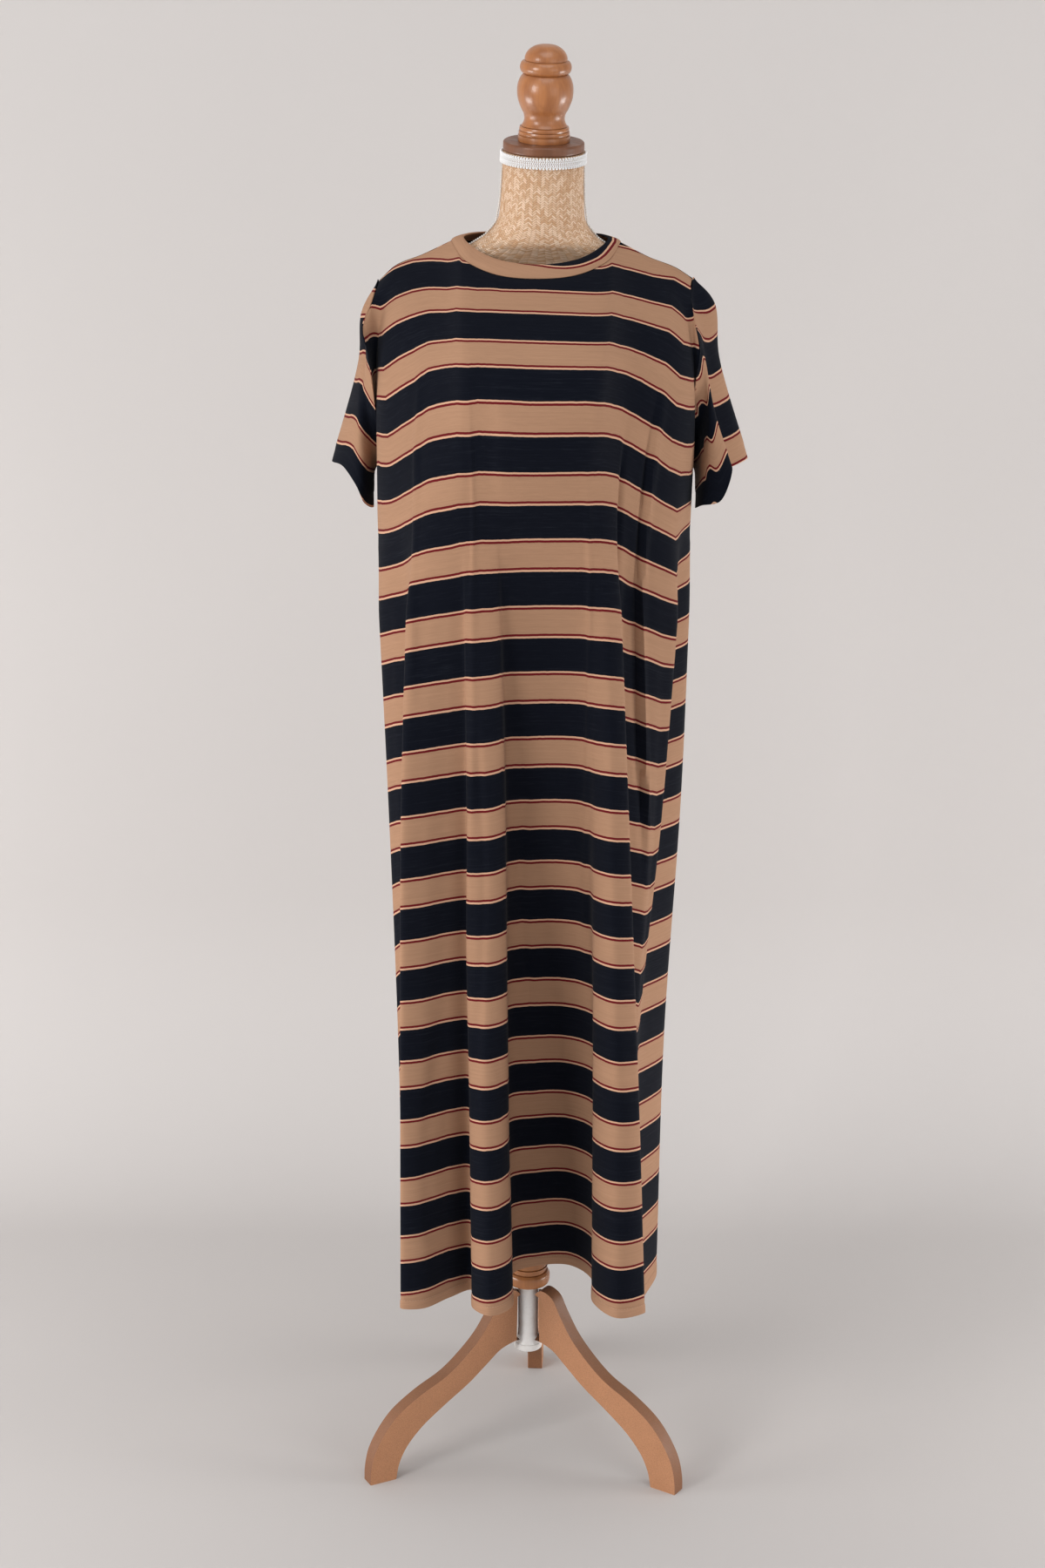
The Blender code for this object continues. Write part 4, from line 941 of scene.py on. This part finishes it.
def lay_strands(name, lines, thread, sizes, slope=0.0, closed=False):
    """A plain mesh of strands of a pitch, length and thickness along one or more lines of points."""
    vertices, edges = [], []
    for line in lines:
        first = len(vertices)
        vertices += [tuple(map(float, point)) for point in line]
        edges += [(first + i, first + i + 1) for i in range(len(line) - 1)]
        if closed:
            edges.append((first + len(line) - 1, first))
    path = bpy.data.meshes.new(name + "_path")
    path.from_pydata(vertices, edges, [])
    carrier = add_object(name + "_carrier", path)
    laid = carrier.modifiers.new("strands", "NODES")
    laid.node_group = strands
    values = dict(zip(("Pitch", "Length", "Thickness"), sizes), Slope=slope, Thread=thread)
    for item in strands.interface.items_tree:
        if item.item_type == "SOCKET" and item.in_out == "INPUT" and item.name in values:
            laid[item.identifier] = values[item.name]
    seen = carrier.evaluated_get(bpy.context.evaluated_depsgraph_get())
    mesh = bpy.data.meshes.new_from_object(seen)
    mesh.name = name
    bpy.data.objects.remove(carrier, do_unlink=True)
    bpy.data.meshes.remove(path)
    return add_object(name, mesh)


# ---- building it ----
knit = jersey_knit()
bands = stripe_bands()
jersey_body = jersey("striped_jersey", knit, bands, LOOP)
jersey_sleeve = jersey("striped_jersey_sleeve", knit, bands, LOOP)
jersey_rib = jersey("striped_rib", knit, bands, RIB_LOOP)
tan_thread = thread_material("tan_thread", (0.42, 0.27, 0.18))
pale_thread = thread_material("pale_thread", (0.40, 0.34, 0.28))
strands = strands_tree()

front_grid, front_up, back_grid, back_up, sleeve_left, sleeve_right, band = dress_panels()
front, *front_panel = panel_piece("dress_front_cloth", front_grid, front_up, FRONT_CREASES, jersey_body)
back, *back_panel = panel_piece("dress_back_cloth", back_grid, back_up, BACK_CREASES, jersey_body)

# how far into the repeat the stripes are at a sleeve's hem, by share of the way round it
SLEEVE_STARTS = {
    "sleeve_left_cloth": ((0.0, 0.0179), (0.07, 0.0179), (0.23, 0.0357), (0.50, 0.0360), (1.0, 0.0179)),
    "sleeve_right_cloth": ((0.0, 0.0400), (0.30, 0.0340), (0.45, 0.0301), (0.52, 0.0170), (0.60, 0.0345),
                           (0.72, 0.0599), (0.85, 0.0550), (1.0, 0.0400)),
}
SLEEVE_STRETCH = 1.035


def make_sleeve(name, grid, outward):
    """A sleeve, rows from its hem up to the armhole, with two lines of stitching at the hem."""
    grid = grid[::-1]
    turn = np.arange(grid.shape[1]) / grid.shape[1]
    shares, starts = np.array(SLEEVE_STARTS[name]).T
    if not outward:
        grid = grid[:, ::-1]
        turn = turn[::-1]
    up = rise_field(grid)
    top = up[-1] - up
    push = seam_pinch(top) + 0.0005 * smooth_step((SLEEVE_STITCHES[0] - up) / 0.002 + 0.5)
    piece, surface, normals = tube_piece(name, grid, jersey_sleeve,
                                         up * SLEEVE_STRETCH + np.interp(turn, shares, starts), CLOTH, push)
    lines = [level_line(surface, normals, up, level) for level in SLEEVE_STITCHES]
    lines = [np.concatenate((line, line[:1])) for line in lines]
    return piece, lay_strands(name.replace("cloth", "stitching"), lines, pale_thread,
                              (0.0030, 0.0023, 0.0006))


left_sleeve, left_stitches = make_sleeve("sleeve_left_cloth", sleeve_left, True)
right_sleeve, right_stitches = make_sleeve("sleeve_right_cloth", sleeve_right, False)


# stripe height at the neckband's seam, by degrees round from the middle of the front to the right
BAND_DRIFT_ANGLES = (-180, -120, -60, -15, 15, 60, 100, 150, 180)
BAND_DRIFT = (0.064, 0.064, 0.066, 0.0735, 0.0765, 0.0830, 0.0860, 0.0660, 0.064)


def make_neckband(grid):
    """The doubled neckband: round at its open edge, its stripes drifting across it to the right."""
    up = rise_field(grid)
    share = up / up[-1]
    middle = grid.mean(axis=(0, 1))
    angle = np.arctan2(grid[0, :, 0] - middle[0], -(grid[0, :, 1] - middle[1]))
    drift = np.interp(np.degrees(angle), BAND_DRIFT_ANGLES, BAND_DRIFT)
    push = seam_pinch(up, 0.0007, 0.0022)
    lip = np.clip(share - 0.86, 0, 1) / 0.14
    thick = BAND_THICKNESS * (0.35 + 0.65 * np.sqrt(np.clip(1 - lip ** 2, 0, 1)))
    return tube_piece("neckband_cloth", grid, jersey_rib, up + drift, thick, push)


neckband, _, _ = make_neckband(band)

front_hem, back_hem = (
    lay_strands(name, [level_line(*panel, HEM_STITCH)], tan_thread, (0.0031, 0.0023, 0.0006))
    for name, panel in (("front_hem_stitching", front_panel), ("back_hem_stitching", back_panel)))

for piece, stitching, node, flat, area, rest in (
        (front, front_hem, "dress_front", (0.69, 1.27), 0.76, "form_torso"),
        (back, back_hem, "dress_back", (0.69, 1.30), 0.78, "form_torso"),
        (left_sleeve, left_stitches, "sleeve_left", (0.38, 0.19), 0.036, front),
        (right_sleeve, right_stitches, "sleeve_right", (0.38, 0.19), 0.036, front)):
    seat(piece, node)
    seat(stitching, node)
seat(neckband, "neckband")

# ---- the form ----
# Sections of the form, in millimetres: height, half width, depth to the front and to the back; then the
# power of its rounding.
TORSO = (
    (790, 30, 30, 30, 2), (796, 100, 78, 70, 2.1), (815, 128, 96, 84, 2.1), (860, 135, 101, 90, 2.1),
    (940, 123, 98, 80, 2.1), (1030, 108, 94, 62, 2.1), (1110, 119, 118, 64, 2.1),
    (1190, 136, 156, 72, 2), (1250, 143, 170, 80, 2), (1300, 148, 158, 81, 2),
    (1350, 152, 127, 76, 2.1), (1390, 156, 90, 66, 2.1), (1412, 157, 66, 53, 2.1),
    (1426, 155, 51, 43, 2), (1438, 148, 40, 35, 2), (1449, 131, 33, 30, 2), (1459, 105, 31, 30, 2),
    (1470, 79, 36, 36, 2), (1482, 60.5, 44, 44, 2), (1497, 48.6, 45.5, 46, 2),
    (1523, 44.8, 44.5, 44.5, 2), (1555, 43.6, 43.6, 43.6, 2), (1574.7, 43.2, 43.2, 43.2, 2),
)
torso_table = np.array(TORSO) * (0.001, 0.001, 0.001, 0.001, 1.0)
FORM_ROUND = 144     # facets round the form
LATHE_STEPS = 112    # facets round a turned piece
NECK_ROUND = 0.0458  # radius by which the jute map is laid round the form
CAP_BASE = 1.5750
FINIAL_BASE = 1.5850


def torso_cover():
    """The form's cloth-covered body, and its map: metres round and up from the back."""
    knots = lengths_along(torso_table[:, :2])
    finer = finer_knots(knots)
    rows = smooth_through(knots, torso_table, finer)
    angles = np.arange(FORM_ROUND) * TURN / FORM_ROUND + math.pi / 2
    rings, uv = [], []
    for run, (height, half_width, front, back, power) in zip(finer, rows):
        cosine, sine = np.cos(angles), np.sin(angles)
        depth = np.where(sine < 0, front, back)
        x = half_width * np.sign(cosine) * np.abs(cosine) ** (2 / power)
        y = depth * np.sign(sine) * np.abs(sine) ** (2 / power)
        rings.append(np.stack((x, y, np.full(FORM_ROUND, height)), axis=1))
        uv.append(np.stack((np.linspace(0, TURN * NECK_ROUND, FORM_ROUND, endpoint=False),
                            np.full(FORM_ROUND, run)), axis=1))
    body = leaning(np.array(rings).reshape(-1, 3)) + POLE
    mesh_faces = ring_faces(len(rows), FORM_ROUND)
    return new_piece("torso_cover", body, mesh_faces, [jute_cloth()], np.array(uv).reshape(-1, 2), "form")


seat(torso_cover(), "form_torso")

grain = wood_grain()
amber_wood = varnished("amber_wood", grain, (0.50, 0.200, 0.065), (0.22, 0.070, 0.020), 0.34, 0.35)
walnut_wood = varnished("walnut_wood", grain, (0.20, 0.072, 0.028), (0.10, 0.034, 0.013), 0.42, 0.10)
braid_thread = thread_material("white_braid_thread", (0.72, 0.69, 0.64))

FINIAL = metres((
    ((27.9, 0.3), (28.1, 3.5), (27.9, 6.6)),
    ((27.2, 7.2), (27.5, 9.2), (27.1, 11.2)),
    ((26.4, 11.8), (26.7, 13.8), (26.2, 15.8)),
    ((24.6, 16.6), (22.6, 20), (21.7, 24), (22.5, 29.2), (25.8, 35.7), (29, 44.3), (30.2, 52.8),
     (29.5, 60.8), (26.8, 68), (24.4, 71.3)),
    ((24, 72.3), (26, 73.7), (27.3, 76.3), (27.7, 79), (27, 82.2), (25.4, 84.8), (23.6, 85.8)),
    ((22.9, 86.4), (22.7, 89.5), (21, 93.8), (17.4, 97.8), (11.6, 101.2), (4, 102.7)),
))
NECK_CAP = metres((((42.4, 0), (43.4, 1), (43.6, 5), (43.4, 9), (42.4, 10)),))
COLUMN = metres((((21.9, 242.3), (22.5, 244), (22.5, 600), (22.5, 899), (21.7, 899.7)),))
HUB_RING = metres((
    ((21.8, 218.1), (24.4, 220), (25.6, 225), (25.4, 231), (23.2, 234.6)),
    ((21.4, 235.2), (21.3, 238.5)),
    ((22.6, 239.2), (23.1, 241.8)),
))
HUB_TUBE = metres((
    ((15, 131.1), (16.3, 132.2), (16.6, 135.2), (15.9, 139.2)),
    ((15.2, 140), (13.8, 143.2), (12.6, 147.2), (12, 152), (12, 217.7)),
))


def turned_piece(name, runs, material, base=0.0):
    """A turned piece from smooth runs of its profile, with a fine groove wherever two runs meet.

    A piece with a base height stands on the neck, and leans with it.
    """
    profile = []
    for run in runs:
        if profile:
            radius = min(profile[-1][0], run[0][0]) - 0.0007
            profile.append((radius, (profile[-1][1] + run[0][1]) / 2))
        profile += rounded(run)
    radii, heights = np.array(profile).T[..., None]
    angles = np.arange(LATHE_STEPS) * TURN / LATHE_STEPS
    rings = np.stack((radii * np.cos(angles), radii * np.sin(angles),
                      np.repeat(heights + base, LATHE_STEPS, axis=1)), axis=2).reshape(-1, 3)
    if base:
        rings = leaning(rings)
    return new_piece(name, rings + POLE, ring_faces(len(profile), LATHE_STEPS), [material], sharp=38)


for name, runs, material, base, node, slot in (
        ("finial_turned", FINIAL, amber_wood, FINIAL_BASE, "finial", "warm_wood"),
        ("neck_cap_disc", NECK_CAP, walnut_wood, CAP_BASE, "neck_cap", "dark_wood"),
        ("column_turned", COLUMN, amber_wood, 0.0, "column", "warm_wood"),
        ("hub_ring_turned", HUB_RING, amber_wood, 0.0, "hub_ring", "warm_wood"),
        ("hub_tube_turned", HUB_TUBE, enamel(), 0.0, "hub_tube", "white_metal")):
    seat(turned_piece(name, runs, material, base), node)


def neck_line(height, out, steps=160):
    angles = np.arange(steps) * TURN / steps
    ring = np.stack((out * np.cos(angles), out * np.sin(angles), np.full(steps, height)), axis=1)
    return leaning(ring) + POLE


def make_neck_braid():
    """Gimp braid round the neck: plaited rows of slanting strands between scalloped edges."""
    plait, scallop = (0.0024, 0.0036, 0.0017), (0.0036, 0.0027, 0.0028)
    rows = (("braid_row", 1.5652, 0.0459, plait, 1.1), ("braid_row", 1.5672, 0.0459, plait, -1.1),
            ("braid_row", 1.5694, 0.0459, plait, 1.1), ("braid_row", 1.5715, 0.0459, plait, -1.1),
            ("braid_edge", 1.5634, 0.0456, scallop, 0.0), ("braid_edge", 1.5733, 0.0456, scallop, 0.0))
    return join_pieces("neck_braid_strands", [
        lay_strands(name, [neck_line(height, out)], braid_thread, sizes, slope, closed=True)
        for name, height, out, sizes, slope in rows])


def join_pieces(name, pieces):
    """One plain mesh object from several."""
    vertices, faces = [], []
    for piece in pieces:
        first = len(vertices)
        vertices += [tuple(vertex.co) for vertex in piece.data.vertices]
        faces += [tuple(first + corner for corner in face.vertices) for face in piece.data.polygons]
    material = pieces[0].data.materials[0]
    for piece in pieces:
        mesh = piece.data
        bpy.data.objects.remove(piece, do_unlink=True)
        bpy.data.meshes.remove(mesh)
    return new_piece(name, vertices, faces, [material], sharp=80)


seat(make_neck_braid(), "neck_braid")


def make_side_braids():
    """A line of small braid down each side of the neck, under the dress."""
    heights = np.linspace(1.561, 1.456, 60)
    half = np.interp(heights, torso_table[:, 0], torso_table[:, 1])
    lines = []
    for side in (-1.0, 1.0):
        for back_by in (-0.0012, 0.0012):
            points = np.stack((side * (half + 0.0006), np.full(60, back_by), heights), axis=1)
            lines.append(leaning(points) + POLE)
    return lay_strands("side_braid_strands", lines, braid_thread, (0.0026, 0.0024, 0.0019))


seat(make_side_braids(), "form_torso")

# ---- the legs ----
LEG_THICKNESS = 0.018
LEG_ANGLES = (("leg_left", -153.0), ("leg_right", -33.0), ("leg_back", 87.0))
LEG_TOP = metres(((12.4, 206), (24, 215.5), (39, 210), (50, 191), (67, 164), (90, 140), (113, 122),
                  (147, 105), (177, 85), (195, 64), (208, 40), (213, 17), (213.7, 0)))
LEG_UNDER = metres(((180.3, 0), (176, 20), (166, 40), (146, 62), (116, 84), (83, 106), (60, 125),
                    (40, 141), (22, 147), (13.5, 147.5)))
board_face = fibreboard("board_face", (0.50, 0.235, 0.115), (0.33, 0.150, 0.070))
board_edge = fibreboard("board_edge", (0.25, 0.105, 0.045), (0.16, 0.066, 0.028))


def make_leg(name, degrees):
    """A board sawn to a double curve, its arrises just eased."""
    along = np.array((math.cos(math.radians(degrees)), math.sin(math.radians(degrees)), 0.0))
    aside = np.array((-along[1], along[0], 0.0))
    outline = rounded(LEG_TOP, 5) + rounded(LEG_UNDER, 5)
    count = len(outline)
    vertices = []
    for offset in (-LEG_THICKNESS / 2, LEG_THICKNESS / 2):
        for number, (radius, height) in enumerate(outline):
            if number in (0, count - 1) and abs(along[0]) > 0.5:
                # the inner ends of the front boards lie flat along the tube's sides
                across = aside[0] * offset
                radius = (radius - math.copysign(across, across * along[0])) / abs(along[0])
            vertices.append(along * radius + aside * offset + np.array((0.0, 0.0, height)) + POLE)
    faces = [tuple(range(count)), tuple(range(2 * count - 1, count - 1, -1))]
    faces += [((i + 1) % count, i, count + i, count + (i + 1) % count) for i in range(count)]
    slots = [0, 0] + [1] * count
    leg = new_piece(name + "_board", vertices, faces, [board_face, board_edge], face_slots=slots, sharp=30)
    if signed_volume(leg.data) < 0:
        leg.data.flip_normals()
    eased = leg.modifiers.new("eased_edges", "BEVEL")
    eased.width = 0.0009
    eased.segments = 2
    eased.limit_method = "ANGLE"
    eased.angle_limit = math.radians(50)
    return leg


def signed_volume(mesh):
    mesh.calc_loop_triangles()
    total = 0.0
    for triangle in mesh.loop_triangles:
        a, b, c = (mesh.vertices[i].co for i in triangle.vertices)
        total += a.dot(b.cross(c))
    return total


for node, degrees in LEG_ANGLES:
    seat(make_leg(node, degrees), node)


# ---- studio ----
FLOOR_FRONT = -7.0
FLOOR_BACK = 0.55
SWEEP_RADIUS = 0.35
SWEEP_STEPS = 12
WALL_TOP = 5.0
HALF_WIDTH = 6.0


def make_studio():
    """A pale floor that sweeps up into a pale wall."""
    angles = [step / SWEEP_STEPS * math.pi / 2 for step in range(SWEEP_STEPS)]
    profile = [(FLOOR_FRONT, 0.0)]
    profile += [(FLOOR_BACK + SWEEP_RADIUS * math.sin(angle), SWEEP_RADIUS * (1 - math.cos(angle)))
                for angle in angles]
    profile += [(FLOOR_BACK + SWEEP_RADIUS, SWEEP_RADIUS), (FLOOR_BACK + SWEEP_RADIUS, WALL_TOP)]
    vertices = [(x, y, z) for x in (-HALF_WIDTH, HALF_WIDTH) for y, z in profile]
    count = len(profile)
    faces = [(i, count + i, count + i + 1, i + 1) for i in range(count - 1)]
    paper = plain_paper("studio_paper", (0.520, 0.499, 0.486), (0.506, 0.485, 0.473))
    new_piece("studio_sweep", vertices, faces, [paper])


def soft_light(name, place, target, size, power, colour):
    data = bpy.data.lights.new(name, "AREA")
    data.shape = "RECTANGLE"
    data.size, data.size_y = size
    data.energy = power
    data.color = colour
    lamp = add_object(name, data)
    lamp.location = place
    lamp.rotation_euler = (Vector(target) - Vector(place)).to_track_quat("-Z", "Y").to_euler()


make_studio()
# each light's place and target, its size, its watts and its colour
for light in (
        ("window_light", (-3.2, -3.0, 2.5), (0.0, 0.0, 0.9), (1.4, 1.8), 86, (1.0, 0.985, 0.97)),
        ("fill_light", (2.6, -3.6, 1.8), (0.0, 0.0, 0.8), (2.4, 2.4), 22, (1.0, 0.98, 0.97)),
        ("wall_light_left", (-2.2, -0.5, 0.5), (0.1, 0.9, 0.12), (1.2, 0.7), 28, (1.0, 0.98, 0.97)),
        ("wall_light_right", (2.3, -0.2, 0.5), (0.4, 0.9, 0.15), (1.0, 0.7), 31, (1.0, 0.98, 0.97)),
        ("top_light", (0.2, -1.4, 4.0), (0.0, -0.6, 0.0), (2.4, 2.4), 36, (1.0, 1.0, 1.0))):
    soft_light(*light)
world = bpy.data.worlds.new("soft_room")
world.use_nodes = True
Wiring(world.node_tree).fill(world.node_tree.nodes["Background"],
                             {"Color": (0.90, 0.90, 0.92, 1.0), "Strength": 0.55})
bpy.context.scene.world = world
bpy.context.scene.view_settings.view_transform = "Standard"

# ---- camera ----
CAMERA_PLACE = (-0.0095, -4.008, 2.329)    # from the foot of the pole
CAMERA_DIP = math.radians(20.235)
CAMERA_ROLL = 0.0044
lens = bpy.data.cameras.new("studio_camera")
camera = add_object("studio_camera", lens)
camera.matrix_world = (Matrix.Translation(Vector(CAMERA_PLACE) + Vector(POLE))
                       @ Matrix.Rotation(math.pi / 2 - CAMERA_DIP, 4, "X")
                       @ Matrix.Rotation(CAMERA_ROLL, 4, "Z"))
lens.sensor_fit = "VERTICAL"
lens.sensor_height = 36.0
lens.lens = 86.24
lens.clip_end = 50.0
bpy.context.scene.camera = camera
